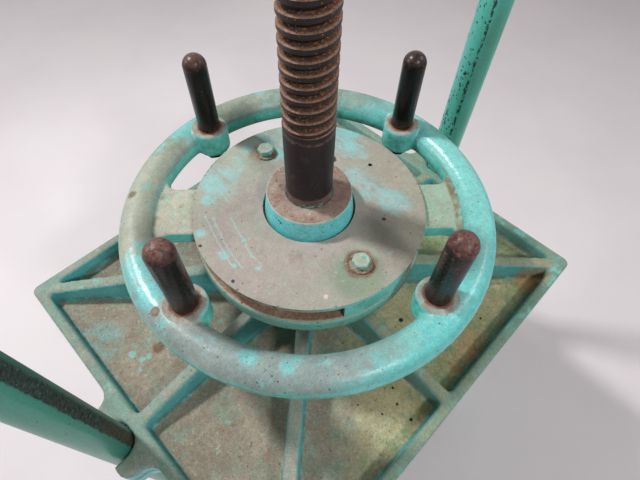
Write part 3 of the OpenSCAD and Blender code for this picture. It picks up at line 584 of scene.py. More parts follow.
thread_rows = [
    (27, 0.6), (27, 5.6), (27.7, 6.4), (34.2, 7.75), (35, 8.6), (35, 14.1), (34.2, 14.95), (27.7, 16.3),
    (27, 17.1)]
pitch = 16.5
pick_nothing()
edit.primitive_plane_add(size=0.01, location=(0, 0, 0))
thread = bpy.context.object
thread.name = "screw_thread"
open_mesh(thread)
edit.merge(type="CENTER")
edit.select_all(action="SELECT")
radius, height = thread_rows[0]
bpy.ops.transform.translate(value=(radius / 1000, 0, (1149.0 - pitch + height) / 1000))
for new_radius, new_height in thread_rows[1:]:
    step = ((new_radius - radius) / 1000, 0, (new_height - height) / 1000)
    edit.extrude_vertices_move(TRANSFORM_OT_translate={"value": step})
    radius, height = new_radius, new_height
settle(thread)
use_modifier(
    thread, "thread", "SCREW", axis="Z", angle=2 * math.pi, screw_offset=pitch / 1000, iterations=57,
    steps=72, render_steps=72, use_normal_calculate=True)
open_mesh(thread)
edit.remove_doubles(threshold=0.00001)
cut_off(thread, (0, 0, 1.166), (0, 0, -1))
cut_off(thread, (0, 0, 2.0564), (0, 0, 1))
open_mesh(thread)
edit.normals_make_consistent(inside=False)
smooth(thread, 40)

shank = turned(
    "screw_shank",
    [
        (29, 793.8), (29.9, 794.8), (29.9, 849.8), (47.9, 849.8), (47.9, 865.6), (35.4, 865.6),
        (35.4, 1155.5), (35.1, 1156), (35.1, 1156.8), (35.4, 1157.3), (35.4, 1166.6), (35, 1167.2),
        (27.2, 1178)])
tip = turned("screw_tip", [(27.9, 2055), (27.9, 2080.4), (24, 2084.4)])
screw = join((thread, shank, tip))
screw.name = "screw"

oiled = Finish("oiled screw steel", (36, 25, 27), 0.38, metal=0.1, gloss=0.4)
oiled.patches(ALL, (0.03, 0.42, 0.7, 4, 0.6, 0, (1, 1, 0.5)), (44, 31, 33), 0.36)
oiled.patches(ALL, (0.02, 0.6, 0.75, 6, 0.6, 8), (76, 54, 52), 0.45, 0.7)
oiled.specks(ALL, (0.012, 0.5, 0.07, 3), (120, 100, 94), 0.6, 0.7)
threaded = oiled.by_height(1.166, 1.168)
crest = oiled.both(threaded, oiled.by_radius(0.034, 0.0348), oiled.upward(0.5, 0.2))
oiled.patches(crest, (0.012, 0.4, 0.65, 5, 0.6, 4), (44, 32, 31), 0.42)
ledge = oiled.both(threaded, oiled.upward(0.2, 0.7))
oiled.patches(ledge, (0.006, 0.15, 0.5, 6, 0.75, 5), (96, 68, 56), 0.9, metal=0.0)
oiled.patches(ledge, (0.0035, 0.5, 0.6, 4, 0.7, 15), (52, 34, 28), 0.9, 0.8, metal=0.0)
oiled.patches(ledge, (0.003, 0.58, 0.64, 3, 0.7, 25), (178, 122, 74), 0.9, 0.8, metal=0.0)
by_root = oiled.both(ledge, oiled.by_radius(0.0305, 0.0285))
# Painted shade: deep in the groove, by the root, the flank is painted dark.
oiled.patches(by_root, (0.006, 0.35, 0.6, 6, 0.75, 7), (62, 36, 24), 0.9, metal=0.0)
oiled.patches(by_root, (0.0028, 0.52, 0.58, 3, 0.7, 17), (160, 104, 60), 0.9, 0.75, metal=0.0)
by_crest = oiled.both(
    oiled.either(ledge, oiled.both(threaded, oiled.upward(0.05, 0.3))), oiled.by_radius(0.031, 0.0338))
oiled.patches(by_crest, (0.003, 0.3, 0.55, 5, 0.75, 6), (158, 122, 104), 0.9, metal=0.0)
oiled.specks(threaded, (0.0045, 0.5, 0.18, 1), (176, 120, 70), 0.9, 0.85, metal=0.0)
oiled.specks(threaded, (0.006, 0.4, 0.12, 5), (190, 160, 132), 0.9, 0.7, metal=0.0)
turned_line = oiled.both(oiled.by_height(1.1535, 1.1555), oiled.by_height(1.16, 1.158))
oiled.patches(turned_line, (0.006, 0.42, 0.6, 6), (104, 82, 76), 0.6, metal=0.1)
band = oiled.by_height(1.049, 1.042)
oiled.patches(band, (0.012, 0.25, 0.5, 6, 0.7), (112, 88, 82), 0.8, metal=0.05)
oiled.patches(
    oiled.by_height(1.038, 1.034), (0.01, 0.5, 0.56, 4, 0.6, 9), (132, 158, 148), 0.7, metal=0.0)
oiled.grain((0.0025, 0.25, 0), (0.009, 0.15, 5))
oiled.bumps((0.0002, 0.0025, 5, 0.7))
oiled.raise_by(oiled.both(ledge, oiled.cloud(0.003, 4, 0.75)), 0.0012)
finish_piece(screw, oiled.done(), "screw", "bare_steel", "screw_spindle")


# Drive disc. A steel flange with a tall hub, keyed and pinned to the screw. The handwheel turns on
# its hub, and the hub's top stands as a bright turquoise collar through the hole in the cover.
disc = turned(
    "disc_with_hub",
    [
        (35.6, 896.2), (52, 896.2), (52, 926), (187, 926), (187, 954), (184, 957), (71.45, 957),
        (71.45, 988), (66, 1031), (37.4, 1031), (35.6, 1029.2)], bored=True, steps=192, edge=0.0012)
teal = Finish("disc paint", (104, 206, 212), 0.36)
teal.patches(ALL, (0.04, 0.4, 0.7, 5), (120, 214, 218), 0.34)
teal.patches(ALL, (0.012, 0.56, 0.7, 4, 0.6, 2, (1, 1, 3)), (70, 152, 154), 0.45, 0.6)
lower = teal.by_height(0.9575, 0.9565)
teal.patches(lower, (0.09, 0.25, 0.5, 5), (128, 198, 186), 0.5)
# Painted shade: the flange's side is painted darker low down, and olive on the side away from the main
# lamp.
teal.layer((lower, teal.by_height(0.951, 0.944)), (92, 156, 142), 0.5, 0.6)
teal.layer((lower, teal.towards((0.8, -0.6, 0), 0.3, 0.8)), (116, 124, 94), 0.6, 0.7)
teal.patches(lower, (0.016, 0.6, 0.7, 6, 0.7, 8), (108, 88, 70), 0.8, 0.7)
chamfer = teal.both(teal.upward(0.3, 0.7), teal.by_radius(0.1825, 0.1845))
teal.patches(
    (lower, teal.past((-0.9, 0.4, 0), 0.06, 0.14)), (0.03, 0.35, 0.55, 6, 0.7, 18), (140, 160, 144), 0.7,
    0.45)
teal.layer((lower, chamfer), (170, 164, 146), 0.85, 0.9)
disc_top = teal.both(
    teal.by_height(0.9562, 0.9568), teal.by_height(0.958, 0.9574), teal.by_radius(0.185, 0.1835))
teal.layer(disc_top, (168, 142, 122), 0.95)
teal.patches(disc_top, (0.008, 0.3, 0.55, 6, 0.75), (146, 108, 90), 0.95)
hub_top = teal.both(teal.by_height(1.0302, 1.0308), teal.upward(0.6, 0.9))
teal.layer(hub_top, (170, 152, 140), 0.95)
teal.patches(hub_top, (0.035, 0.4, 0.65, 7, 0.72), (150, 122, 110), 0.95)
teal.patches(hub_top, (0.009, 0.54, 0.62, 7, 0.8, 4), (116, 82, 72), 0.95, 0.75)
teal.specks(hub_top, (0.008, 0.6, 0.17, 3), (84, 60, 52), 0.95)
teal.specks(hub_top, (0.009, 0.5, 0.15, 8), (206, 196, 182), 0.95, 0.8)
# The collar top's outer edge is worn, and painted whitish as a painted highlight.
worn_and_highlit_edge = teal.both(
    teal.by_height(1.0275, 1.0288), teal.by_radius(0.064, 0.0652),
    teal.blotches(0.012, 0.35, 0.5, 5, 0.6, 4))
teal.layer(worn_and_highlit_edge, (186, 196, 184), 0.7, 0.75)
collar = teal.both(teal.by_height(0.99, 0.992), teal.by_height(1.0305, 1.03))
teal.specks(collar, (0.014, 0.6, 0.13, 6, (1, 1, 2.2)), (28, 42, 44), 0.7)
teal.specks(lower, (0.011, 0.9, 0.19, 7, (1, 1, 1.6)), (34, 42, 38), 0.7)
teal.specks(lower, (0.018, 0.5, 0.14, 27, (0.6, 0.6, 1.6)), (104, 66, 54), 0.8)
for x, y, z in (
        (-0.0705, 0.006, 1.0215), (-0.0707, 0.0015, 1.02), (-0.0705, -0.004, 1.019),
        (-0.07, -0.0085, 1.0165)):
    teal.layer(teal.near((x, y, z), 0.0034, 0.4, 0.5, 0.004), (30, 36, 38), 0.7)
teal.patches(collar, (0.011, 0.63, 0.68, 5, 0.6, 12, (1, 1, 1.6)), (150, 176, 170), 0.7, 0.8)
# Painted shadow: the hub's top is painted darker brown on its front right, where the screw's shadow falls.
teal.layer((hub_top, teal.past((0.707, -0.707, 0), 0, 0.05, ragged=0.05)), (128, 104, 94), 0.95, 0.5)
teal.grain((0.0024, 0.15, 0), (0.009, 0.1, 5))
teal.raise_by(teal.both(hub_top, teal.cloud(0.0035, 6, 0.8)), 0.0012)
teal.bumps((0.0002, 0.005, 3), (0.0005, 0.025, 2))
finish_piece(disc, teal.done(), "screw", "green_paint", "drive_disc")
for name in ("drive_key", "drive_pin"):
    dress(name, fastener_steel, 0.0005, 1)


# Cover. A round iron plate with two stop blocks cast under it, bolted down through the blocks. Its
# top is dusty, rubbed through to the turquoise paint, and the bolts have bled rust.
def bore(piece, name, radius, low, high, x=0.0, y=0.0, steps=128):
    """Cuts a round hole with a turned plug."""
    plug = turned(name, [(radius, low), (radius, high)], steps=steps)
    plug.location = (x, y, 0)
    settle(plug)
    use_modifier(piece, "bored", "BOOLEAN", object=plug, operation="DIFFERENCE", solver="EXACT")
    bpy.data.objects.remove(plug)


# Both rings start at the outer radius, so that their outer walls match and join in one face.
cover_plate = turned("cover", [(186, 988), (186, 996), (74.5, 996), (74.5, 988)], bored=True, steps=256)
stop_ring = turned(
    "stop_ring", [(186, 957.1), (186, 988.6), (100, 988.6), (100, 957.1)], bored=True, steps=256)
stop_turns = (-100.5, 79.5)
for turn in stop_turns:
    block = copy_of(stop_ring, "stop_block")
    for lean, reach in ((32.32, -0.046), (-32.32, 0.046)):
        across = Vector((*on_circle(1, turn + lean + 90), 0))
        cut_off(block, across * reach, across if reach < 0 else -across)
    use_modifier(cover_plate, "one casting", "BOOLEAN", object=block, operation="UNION", solver="EXACT")
    bpy.data.objects.remove(block)
bpy.data.objects.remove(stop_ring)
for turn in stop_turns:
    bore(cover_plate, "bolt_hole", 8.25, 950, 1000, *on_circle(0.1354, turn), steps=32)
bore(cover_plate, "oil_hole", 3, 980, 1000, *on_circle(0.135, -5), steps=24)
use_modifier(cover_plate, "touching points", "WELD", merge_threshold=0.00003)
use_modifier(
    cover_plate, "broken edges", "BEVEL", width=0.0008, segments=2, limit_method="ANGLE",
    angle_limit=math.radians(40))
smooth(cover_plate, 35)

cover = Finish("cover paint and dust", (169, 157, 150), 0.8)
cover.patches(ALL, (0.1, 0.4, 0.62, 5), (165, 161, 149), 0.8)
cover.patches(ALL, (0.045, 0.5, 0.64, 7, 0.72, 4), (157, 145, 136), 0.8, 0.75)
cover.patches(ALL, (0.03, 0.54, 0.64, 7, 0.72, 24), (154, 162, 148), 0.8, 0.55)
# Painted shade: the top is painted a darker grey green towards the right.
cover.layer(cover.past((0.8, -0.6, 0), 0.02, 0.15, ragged=0.12), (154, 150, 134), 0.75, 0.6)
cover.patches(
    cover.past((0.1, 0.99, 0), 0.05, 0.15, ragged=0.12), (0.06, 0.3, 0.6, 4, 0.6, 2), (158, 170, 152),
    0.75, 0.75)
face = 0.996  # the height of the top
top = cover.both(cover.by_height(0.9945, 0.9955), cover.upward(0.5, 0.8))
side = cover.without(top)
for x, y, size, power in (
        (-0.076, 0.14, 0.03, 0.8), (-0.113, 0.117, 0.011, 0.8), (-0.159, 0.075, 0.008, 0.8),
        (-0.03, 0.152, 0.016, 0.5), (0.009, 0.162, 0.012, 0.7), (0.06, 0.14, 0.04, 1),
        (0.105, 0.11, 0.036, 1), (0.15, 0.085, 0.04, 1), (0.138, 0.04, 0.03, 0.8), (0.168, 0.07, 0.018, 1),
        (0.1, -0.012, 0.022, 0.6), (0.097, -0.052, 0.024, 0.7), (0.102, -0.095, 0.024, 0.7),
        (-0.16, 0.02, 0.009, 1)):
    spot = cover.near((x, y, face), size, 1, 1)
    haze = cover.both(top, spot, cover.blotches(0.018, 0.38, 0.56, 8, 0.76, 2, (1, 0.3, 1)))
    cover.layer(haze, (140, 196, 194), 0.55, power)
cover.patches(top, (0.02, 0.64, 0.7, 5, 0.6, 13), (150, 190, 180), 0.6, 0.5)
swipe = cover.scratch(face, 0.016, (0.085, 0), (0.094, -0.055), (0.104, -0.11))
cover.patches((top, swipe), (0.012, 0.3, 0.6, 5, 0.6, 3), (166, 190, 190), 0.6, 0.55)
for width, *points in (
        (
            0.0021, (-0.1075, 0.065), (-0.1153, 0.0405), (-0.1195, 0.0187), (-0.1255, 0.0045),
            (-0.1293, -0.0115), (-0.1288, -0.0312), (-0.1353, -0.0366), (-0.1394, -0.0303)),
        (
            0.0026, (-0.1287, 0.0856), (-0.1338, 0.0638), (-0.1421, 0.0408), (-0.1481, 0.0166),
            (-0.1529, -0.0171)),
        (
            0.0026, (-0.1341, 0.0963), (-0.1427, 0.0672), (-0.1498, 0.0432), (-0.1566, 0.0152),
            (-0.161, 0.0003), (-0.1591, -0.011), (-0.157, -0.006)),
        (0.0024, (-0.086, 0.1177), (-0.0909, 0.0934))):
    mark = cover.scratch(face, width, *points)
    cover.patches((top, mark), (0.009, 0.3, 0.5, 4, 0.6, 5), (150, 194, 188), 0.5, 0.6)
for x, y in ((-0.159, -0.005), (-0.1375, -0.0335), (-0.12, 0.018)):
    cover.layer((top, cover.near((x, y, face), 0.0038, 0.7, 0.9, 0.005)), (148, 196, 192), 0.5, 0.65)
halo = cover.either(
    cover.near((-0.04, -0.142, face), 0.04, 0.7, 0.3, 0.04),
    cover.near((-0.05, -0.128, face), 0.022, 0.8, 0.3, 0.04))
cover.layer((top, halo), (132, 148, 126), 0.8, 0.9)
ring = cover.near((-0.0247, -0.1331, face), 0.0245, 0.35, 0.42, 0.012)
cover.layer((top, ring), (132, 92, 76), 0.9, 0.75)
cover.patches((top, ring), (0.006, 0.5, 0.6, 5), (96, 58, 44), 0.9, 0.7)
stain = cover.near((0.02, 0.137, face), 0.023, 0.6, 0.5, 0.015)
cover.layer((top, stain), (148, 128, 110), 0.9, 0.7)
cover.patches(
    (top, cover.near((-0.0826, -0.0547, face), 0.01, 0.9, 1.2, 0.006)), (0.005, 0.4, 0.6),
    (146, 122, 108), 0.9, 0.55)
cover.specks(top, (0.015, 0.6, 0.08, 1.3), (62, 52, 46), 0.8)
cover.specks(top, (0.022, 0.5, 0.07, 2.9), (128, 84, 68), 0.8)
near_edge = cover.by_radius(0.1815, 0.1845)
cover.patches(
    (near_edge, cover.blotches(0.006, 0.56, 0.62, 4, 0.6, 6)), (0.05, 0.42, 0.55, 4, 0.6, 7),
    (44, 44, 40), 0.8, 0.8)
for x, y, size in (
        (0.063, -0.104, 0.0034), (-0.176, -0.025, 0.0028), (-0.173, 0.056, 0.0028), (0.098, 0.04, 0.005),
        (0.102, 0.043, 0.003)):
    cover.layer(cover.near((x, y, face), size, 0.3, 0.5, 0.004), (30, 42, 44), 0.6)
cover.layer(cover.near((-0.099, -0.135, face), 0.0034, 0.3, 0.6, 0.004), (214, 190, 182), 0.6)
cover.layer(side, (112, 204, 200), 0.4)
cover.patches(side, (0.04, 0.45, 0.65), (126, 206, 196), 0.4)
cover.patches(
    (side, cover.by_height(0.9885, 0.9865)), (0.03, 0.4, 0.6, 4, 0.6, 9), (84, 160, 148), 0.45, 0.7)
dusty_rim = cover.both(
    side, cover.by_radius(0.18, 0.184), cover.past((-0.707, 0.707, 0), -0.05, 0.02, ragged=0.05))
cover.layer(dusty_rim, (158, 152, 138), 0.8)
cover.patches(dusty_rim, (0.012, 0.52, 0.6, 6, 0.7, 19), (96, 72, 60), 0.8, 0.85)
cover.patches(dusty_rim, (0.03, 0.58, 0.64, 5, 0.6, 29), (120, 180, 170), 0.6, 0.7)
cover.specks(side, (0.01, 0.7, 0.14, 9), (34, 46, 44), 0.7)
cover.layer(cover.near((0.1345, -0.0118, 0.993), 0.0046, 0.3, 0.5, 0.005), (24, 32, 34), 0.7)
cover.patches(top, (0.006, 0.61, 0.65, 5, 0.75, 41), (146, 122, 110), 0.85, 0.5)
cover.patches(top, (0.007, 0.61, 0.65, 5, 0.75, 47), (188, 184, 172), 0.85, 0.5)
cover.grain((0.0022, 0.1, 0), (0.009, 0.05, 4), (0.035, 0.06, 9))
cover.bumps((0.0002, 0.003, 4, 0.7), (0.0008, 0.05, 2))
finish_piece(cover_plate, cover.done(), "screw", "dusty_paint", "stop_cover")

bolts = Finish("bolt paint", (160, 204, 192), 0.45)
bolts.patches(ALL, (0.01, 0.45, 0.6), (104, 164, 152), 0.45)
bolts.patches(bolts.upward(0.6, 0.95), (0.012, 0.35, 0.55, 4, 0.6, 3), (172, 168, 150), 0.85, 0.8)
bolts.specks(ALL, (0.006, 0.4, 0.13), (96, 60, 44), 0.85)
bolts.bumps((0.0002, 0.003, 4))
dress("stop_bolts", bolts.done(), 0.0007)
washers = Finish("washer dust", (156, 144, 126), 0.85)
washers.patches(ALL, (0.008, 0.42, 0.58, 5), (126, 98, 78), 0.9)
washers.patches(ALL, (0.006, 0.58, 0.64, 4, 0.6, 4), (140, 172, 158), 0.7)
washers.bumps((0.0002, 0.003, 4))
dress("stop_washers", washers.done(), 0.0006)
dress("stop_nuts", fastener_steel, 0.0006)
dress("wheel_ring", bronze_finish, 0.0004, 1)


# Handwheel. Rim, two arms, hub and four handle bosses in one casting, with soft inner corners. Hands
# have worn the turquoise smooth and bright, and dust and rust lie on the upper left of the rim.
pick_nothing()
edit.primitive_torus_add(
    major_radius=0.272, minor_radius=0.0277, major_segments=288, minor_segments=48,
    location=(0, 0, 0.9788))
wheel = bpy.context.object
wheel.name = "handwheel_casting"
settle(wheel)

pick_nothing()
edit.primitive_plane_add(size=1, location=(0.118, 0, 0.9606))
arm = bpy.context.object
arm.scale = (0.236, 0.0918, 1)
settle(arm)


def pick_edges(piece, test):
    """Selects the edges whose two ends pass a test."""
    bpy.ops.object.mode_set(mode="EDIT")
    edit.select_mode(type="EDGE")
    edit.select_all(action="DESELECT")
    bpy.ops.object.mode_set(mode="OBJECT")
    for line in piece.data.edges:
        line.select = test(*[piece.data.vertices[v].co for v in line.vertices])
    bpy.ops.object.mode_set(mode="EDIT")


pick_edges(arm, lambda a, b: min(a.x, b.x) > 0.2)
edit.extrude_edges_move(TRANSFORM_OT_translate={"value": (0.026, 0, 0)})
for hand in (1, -1):
    pick_edges(arm, lambda a, b: min(a.x, b.x) > 0.235 and abs(a.x - b.x) > 0.01 and a.y * hand > 0)
    edit.extrude_edges_move(TRANSFORM_OT_translate={"value": (0, hand * 0.0225, 0)})
edit.select_mode(type="VERT")
edit.select_all(action="DESELECT")
bpy.ops.object.mode_set(mode="OBJECT")
for corner in arm.data.vertices:
    corner.select = abs(corner.co.x - 0.236) < 0.001 and abs(abs(corner.co.y) - 0.0459) < 0.001
bpy.ops.object.mode_set(mode="EDIT")
edit.bevel(offset=0.018, segments=10, affect="VERTICES")
edit.select_all(action="SELECT")
edit.extrude_region_move(TRANSFORM_OT_translate={"value": (0, 0, 0.0254)})
edit.select_all(action="SELECT")
edit.normals_make_consistent(inside=False)
settle(arm)
arms = [copy_of(arm, "arm", turn=math.radians(turn)) for turn in (-42.5, 137.5)]
bpy.data.objects.remove(arm)

hub = turned("wheel_hub", [(96.8, 960.6), (96.8, 986)], steps=160)
boss = turned("handle_boss", [(30.6, 960.2), (30.8, 1004.8), (29.2, 1006.4)], steps=72)
handle_places = [on_circle(0.245, 2.5 + 90 * number) for number in range(4)]
bosses = [copy_of(boss, "boss", (x, y, 0)) for x, y in handle_places]
bpy.data.objects.remove(boss)
wheel = join([wheel, hub] + arms + bosses)
use_modifier(wheel, "cast skin", "REMESH", mode="VOXEL", voxel_size=0.0024)
use_modifier(wheel, "soft corners", "SMOOTH", factor=0.5, iterations=5)
bore(wheel, "hub_bore", 79.75, 940, 1010)
smooth(wheel, 45)

rim = Finish("wheel paint", (100, 200, 188), 0.26)
rim.patches(ALL, (0.09, 0.4, 0.62, 5), (118, 214, 206), 0.24)
# Painted shade: faces that look down are painted darker, and the flanks darker in patches.
rim.layer(rim.upward(0, -0.7), (64, 146, 126), 0.4, 0.85)
rim.patches(rim.upward(0.5, -0.1), (0.025, 0.54, 0.7, 4, 0.6, 3), (50, 112, 96), 0.4, 0.6)
on_rim = rim.by_radius(0.243, 0.247)
on_top = rim.upward(0.1, 0.8, ragged=0.9, grain=0.05)
flat = rim.upward(0.45, 0.92)
to_left = rim.past((-0.707, 0.707, 0), -0.02, 0.16, ragged=0.15)
to_right = rim.past((0.707, -0.707, 0), 0.06, 0.2, ragged=0.15)
# Dust on the rim: grey green in front, a warm beige on the left and behind, rubbed off on the right.
film = rim.both(on_rim, on_top)
rim.layer((film, rim.without(to_right, 0.7)), (156, 172, 164), 0.38, 0.85)
rim.layer((film, to_left), (170, 166, 146), 0.46, 0.75)
# Painted shade: the rim's top behind is painted a darker grey green in patches.
rim.patches(
    (film, rim.past((0.5, 0.85, 0), 0.1, 0.22, ragged=0.15)), (0.07, 0.36, 0.58, 6), (124, 138, 124),
    0.45, 0.8)
rim.patches(
    (film, rim.past((-0.85, -0.5, 0), 0.17, 0.25, ragged=0.1)), (0.05, 0.25, 0.45, 6, 0.6, 7),
    (134, 148, 147), 0.42, 0.85)
# Turquoise where hands have wiped the dust away.
rim.patches(film, (0.05, 0.54, 0.6, 8, 0.74, 1), (126, 190, 186), 0.28, 0.8)
rim.patches(film, (0.035, 0.56, 0.62, 8, 0.74, 31), (170, 168, 158), 0.5, 0.45)
rim.patches((film, to_right), (0.06, 0.32, 0.52, 6, 0.6, 9), (128, 204, 198), 0.24, 0.85)
for x, y, size in (
        (-0.234, -0.127, 0.014), (-0.205, -0.172, 0.012), (-0.262, 0.08, 0.03), (-0.27, 0.035, 0.022),
        (-0.05, 0.275, 0.026), (-0.012, 0.285, 0.02), (0.235, -0.03, 0.03), (0.232, 0.06, 0.022),
        (-0.03, -0.29, 0.034), (0.05, -0.285, 0.03)):
    rim.layer(
        (rim.near((x, y, 1), size, 0.9, 1.3, 0.012), rim.upward(-0.1, 0.4)), (112, 202, 202), 0.24, 0.75)
# The flank at the front right, rubbed bright, and then the arms' flat tops.
bright_side = rim.both(
    on_rim, rim.past((0.25, -0.97, 0), 0.16, 0.24, ragged=0.1),
    rim.towards((0.25, -0.95, 0.15), 0.32, 0.62, ragged=0.7, grain=0.04))
rim.layer(bright_side, (112, 216, 212), 0.24, 0.85)
on_arm = rim.both(flat, rim.by_radius(0.247, 0.241), rim.by_height(0.99, 0.9875))
rim.layer(on_arm, (172, 172, 152), 0.7)
rim.layer((on_arm, rim.past((-0.737, 0.676, 0), 0, 0.05)), (186, 180, 164), 0.75, 0.8)
rim.layer((on_arm, rim.past((0.737, -0.676, 0), 0, 0.05)), (150, 176, 156), 0.65, 0.8)
rim.patches(on_arm, (0.045, 0.46, 0.64, 6, 0.68, 16), (156, 172, 152), 0.65, 0.7)
rim.patches(on_arm, (0.022, 0.56, 0.66, 6, 0.7, 6), (130, 186, 174), 0.5, 0.65)
rim.patches(on_arm, (0.018, 0.56, 0.66, 6, 0.7, 26), (164, 138, 120), 0.8, 0.65)
gutter = rim.both(
    rim.by_radius(0.234, 0.24), rim.by_radius(0.2505, 0.246), rim.upward(0.2, 0.6),
    rim.by_height(0.9935, 0.99))
rim.patches(
    (gutter, rim.past((0.7, -0.7, 0), 0.12, 0.2)), (0.02, 0.35, 0.55, 5), (134, 106, 70), 0.85, 0.85)
rim.patches(gutter, (0.03, 0.45, 0.6, 5, 0.6, 4), (120, 112, 92), 0.85, 0.6)
# Chips: tiny dark ones all over, reddish ones in a drift at the front left, dashes along the lower edge.
rim.specks(ALL, (0.014, 0.7, 0.09), (66, 52, 44), 0.7)
rim.specks(ALL, (0.01, 0.45, 0.1, 5), (40, 54, 50), 0.7)
drift = rim.both(on_rim, rim.past((-0.82, -0.57, 0), 0.2, 0.25))
rim.specks(drift, (0.009, 0.6, 0.12, 8), (122, 82, 72), 0.8)
rim.patches(
    (
        rim.past((0, 0, -1), -0.978, -0.965, ragged=0.01),
        rim.blotches(0.006, 0.57, 0.63, 4, 0.6, 3, (0.5, 0.5, 1.6))), (0.06, 0.44, 0.56, 4, 0.6, 8),
    (36, 50, 46), 0.7, 0.8)
rim.layer(rim.near((-0.2816, 0.007, 1.004), 0.0068, 0.4, 0.5, 0.006), (126, 100, 86), 0.85, 0.85)
rim.layer(rim.near((-0.281, 0.008, 1.004), 0.0036, 0.6, 0.5, 0.004), (156, 138, 124), 0.85, 0.8)
rim.layer(rim.near((-0.194, 0.205, 1.004), 0.0075, 0.5, 0.9, 0.006), (112, 84, 68), 0.85, 0.8)
rim.specks(
    rim.near((-0.232, -0.155, 1.004), 0.034, 0.6, 0.5, 0.03), (0.0085, 0.8, 0.19, 2), (118, 74, 68), 0.8)
# Each boss is dusty on top, with rust and old grease round the handle's foot.
for number, (x, y) in enumerate(handle_places):
    from_handle = rim.radius(x, y)
    on_boss = rim.both(
        rim.between(from_handle, 0.0318, 0.0305), rim.by_height(0.9975, 1.0005), rim.upward(0.3, 0.7))
    rim.layer(on_boss, (160, 160, 148), 0.8, 0.8)
    rim.patches(on_boss, (0.014, 0.4, 0.62, 6, 0.6, number + 2), (158, 134, 124), 0.85, 0.8)
    foot = rim.frayed(from_handle, 0.012, 0.008, 5)
    rim.layer((rim.between(foot, 0.0245, 0.0205), rim.by_height(1.003, 1.005)), (120, 76, 58), 0.9, 0.9)
    rim.patches(
        (rim.between(from_handle, 0.0322, 0.0308), rim.by_height(0.998, 0.992)),
        (0.02, 0.42, 0.62, 5, 0.6, number + 8), (70, 146, 130), 0.4, 0.5)
rim.layer(rim.near((0.201, -0.152, 0.989), 0.0062, 0.4, 0.7, 0.006), (150, 196, 188), 0.5, 0.8)
rim.layer(rim.near((0.201, -0.152, 0.989), 0.0042, 0.3, 0.8, 0.006), (34, 46, 46), 0.6)
rim.grain((0.0024, 0.13, 0), (0.009, 0.09, 4), (0.035, 0.07, 9))
rim.bumps((0.0003, 0.0035, 3, 0.7), (0.0005, 0.01, 2), (0.001, 0.035, 2))
finish_piece(wheel, rim.done(), "handwheel", "green_paint", "handwheel")
dress("wheel_bush", bronze_finish, 0.0004, 1)


# Handles. Four turned steel grips with round ends, black once, each held in its boss by a nut below.
# The palm has worn their tips through to a reddish brown.
handle_rows = [(11.9, 942), (11.9, 1006.9), (18.4, 1006.9), (18.95, 1008), (18.95, 1129.8)]
dome = [on_circle(18.95, degrees) for degrees in range(8, 88, 8)]
handle_rows += [(radius, 1129.8 + rise) for radius, rise in dome] + [(0, 1148.75)]
handle = turned("handle", handle_rows, steps=64)
grip = Finish("black handle enamel", (13, 10, 10), 0.26, gloss=0.25)
grip.patches(ALL, (0.03, 0.44, 0.7, 5, 0.6, 0, (1, 1, 0.5)), (28, 20, 20), 0.34)
# Painted sheen: a brownish sheen is painted on the sides that face the front left.
grip.patches(
    grip.towards((-0.5, -0.6, 0), 0.55, 0.95, ragged=0.8, grain=0.02), (0.02, 0.4, 0.6, 6, 0.6, 8),
    (50, 36, 33), 0.42, 0.5)
worn = grip.sum("MULTIPLY_ADD", grip.cloud(0.014, 6, 0.7), 0.04, grip.axis(2))
grip.patches(grip.between(worn, 1.146, 1.163), (0.006, 0.3, 0.55, 6, 0.75, 2), (112, 78, 72), 0.4)
grip.patches(grip.between(worn, 1.156, 1.17), (0.004, 0.5, 0.62, 5, 0.75, 5), (156, 118, 108), 0.3, 0.8)
grip.specks(grip.between(worn, 1.146, 1.163), (0.006, 0.5, 0.14, 1), (52, 36, 34), 0.35)
grip.layer(grip.past((1, 0, 0), 0.2, 0.21), (14, 11, 11), 0.24, 0.75)
grip.layer(grip.past((0, 1, 0), 0.2, 0.21), (22, 16, 15), 0.26, 0.4)
grip.patches(grip.towards((1, 0, 0), 0, 0.4), (0.012, 0.56, 0.64, 6, 0.7, 11), (96, 62, 56), 0.45, 0.7)
front_one = grip.both(grip.past((0, -1, 0), 0.2, 0.21), grip.by_height(1.06, 1.14))
grip.patches(front_one, (0.014, 0.48, 0.58, 7, 0.75, 21), (92, 54, 52), 0.22, 0.55)
grip.patches(front_one, (0.008, 0.56, 0.62, 6, 0.75, 31), (146, 108, 100), 0.35, 0.75)
grip.specks(ALL, (0.009, 0.5, 0.09, 3), (150, 128, 120), 0.5)
grip.patches(grip.by_height(1.022, 1.009), (0.006, 0.35, 0.6, 5), (96, 62, 50), 0.7, 0.7)
grip.bumps((0.00012, 0.003, 4, 0.7), (0.0003, 0.012, 2))
handle_finish = grip.done()
for number, (x, y) in enumerate(handle_places, 1):
    twin = copy_of(handle, f"handle_grip_{number}", (x, y, 0))
    finish_piece(twin, handle_finish, "handwheel", "handle_black", f"handle_{number}")
bpy.data.objects.remove(handle)
dress("handle_nuts", fastener_steel, 0.0008)


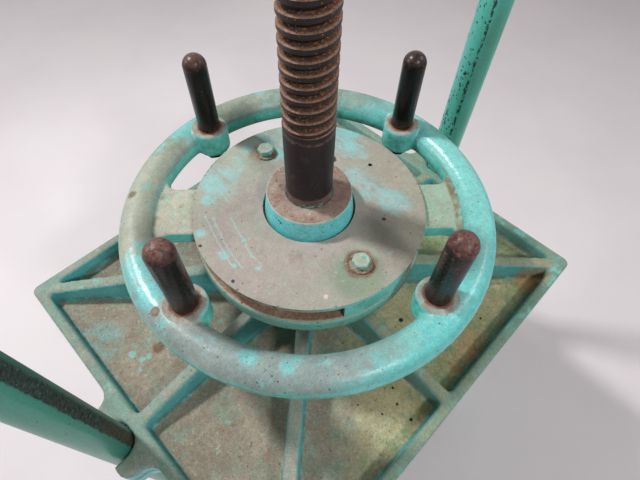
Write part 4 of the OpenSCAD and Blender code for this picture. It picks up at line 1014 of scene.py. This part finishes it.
# Floor, lights and camera. A pale floor, a lamp high on the left and behind, weaker ones round it,
# and the camera where it stood: close over the platen's front left corner, looking down.
pick_nothing()
edit.primitive_plane_add(size=40, location=(0, 0, 0))
floor = bpy.context.object
floor.name = "floor"
ground = Finish("pale floor", (250, 242, 244), 0.7, gloss=0.2)
ground.patches(ALL, (0.6, 0.35, 0.7, 5), (246, 237, 240), 0.75)
floor.data.materials.append(ground.done())


def lamp(name, turn, rise, distance, size, watts):
    """A flat lamp that faces the disc, from a direction and a rise in degrees."""
    aim = Vector((0, 0, 0.95))
    turn, rise = math.radians(turn), math.radians(rise)
    way = Vector((math.cos(turn) * math.cos(rise), math.sin(turn) * math.cos(rise), math.sin(rise)))
    bpy.ops.object.light_add(type="AREA", location=aim + way * distance)
    light = bpy.context.object
    light.name = name
    light.data.shape = "RECTANGLE"
    light.data.size, light.data.size_y = size
    light.data.energy = watts
    light.rotation_euler = (-way).to_track_quat("-Z", "Y").to_euler()


lamp("main lamp", 113, 53, 3.3, (0.3, 0.3), 80)
lamp("front lamp", -102, 43, 3.3, (0.45, 0.3), 35)
lamp("left lamp", 128, 25, 3.2, (0.35, 0.2), 15)
lamp("right lamp", -34, 40, 3.4, (1, 0.7), 20)

world = bpy.data.worlds.new("white room")
bpy.context.scene.world = world
world.use_nodes = True
room = world.node_tree
paths = room.nodes.new("ShaderNodeLightPath")
seen = paths.outputs["Is Camera Ray"]
for ray in ("Is Glossy Ray", "Is Transmission Ray"):
    either = room.nodes.new("ShaderNodeMath")
    either.operation = "MAXIMUM"
    room.links.new(seen, either.inputs[0])
    room.links.new(paths.outputs[ray], either.inputs[1])
    seen = either.outputs[0]
level = room.nodes.new("ShaderNodeMapRange")
level.inputs["To Min"].default_value = 0.14
level.inputs["To Max"].default_value = 1.0
room.links.new(seen, level.inputs["Value"])
room.links.new(level.outputs[0], room.nodes["Background"].inputs["Strength"])
room.nodes["Background"].inputs["Color"].default_value = (1, 1, 1, 1)

bpy.ops.object.camera_add(
    location=(-0.31, -0.3198, 1.5557),
    rotation=(math.radians(33.854), math.radians(-1.06), math.radians(-45.007)))
camera = bpy.context.object
camera.name = "camera"
camera.data.lens = 24.95
camera.data.sensor_width = 36
camera.data.clip_start = 0.02
bpy.context.scene.camera = camera
bpy.context.scene.view_settings.view_transform = "Standard"
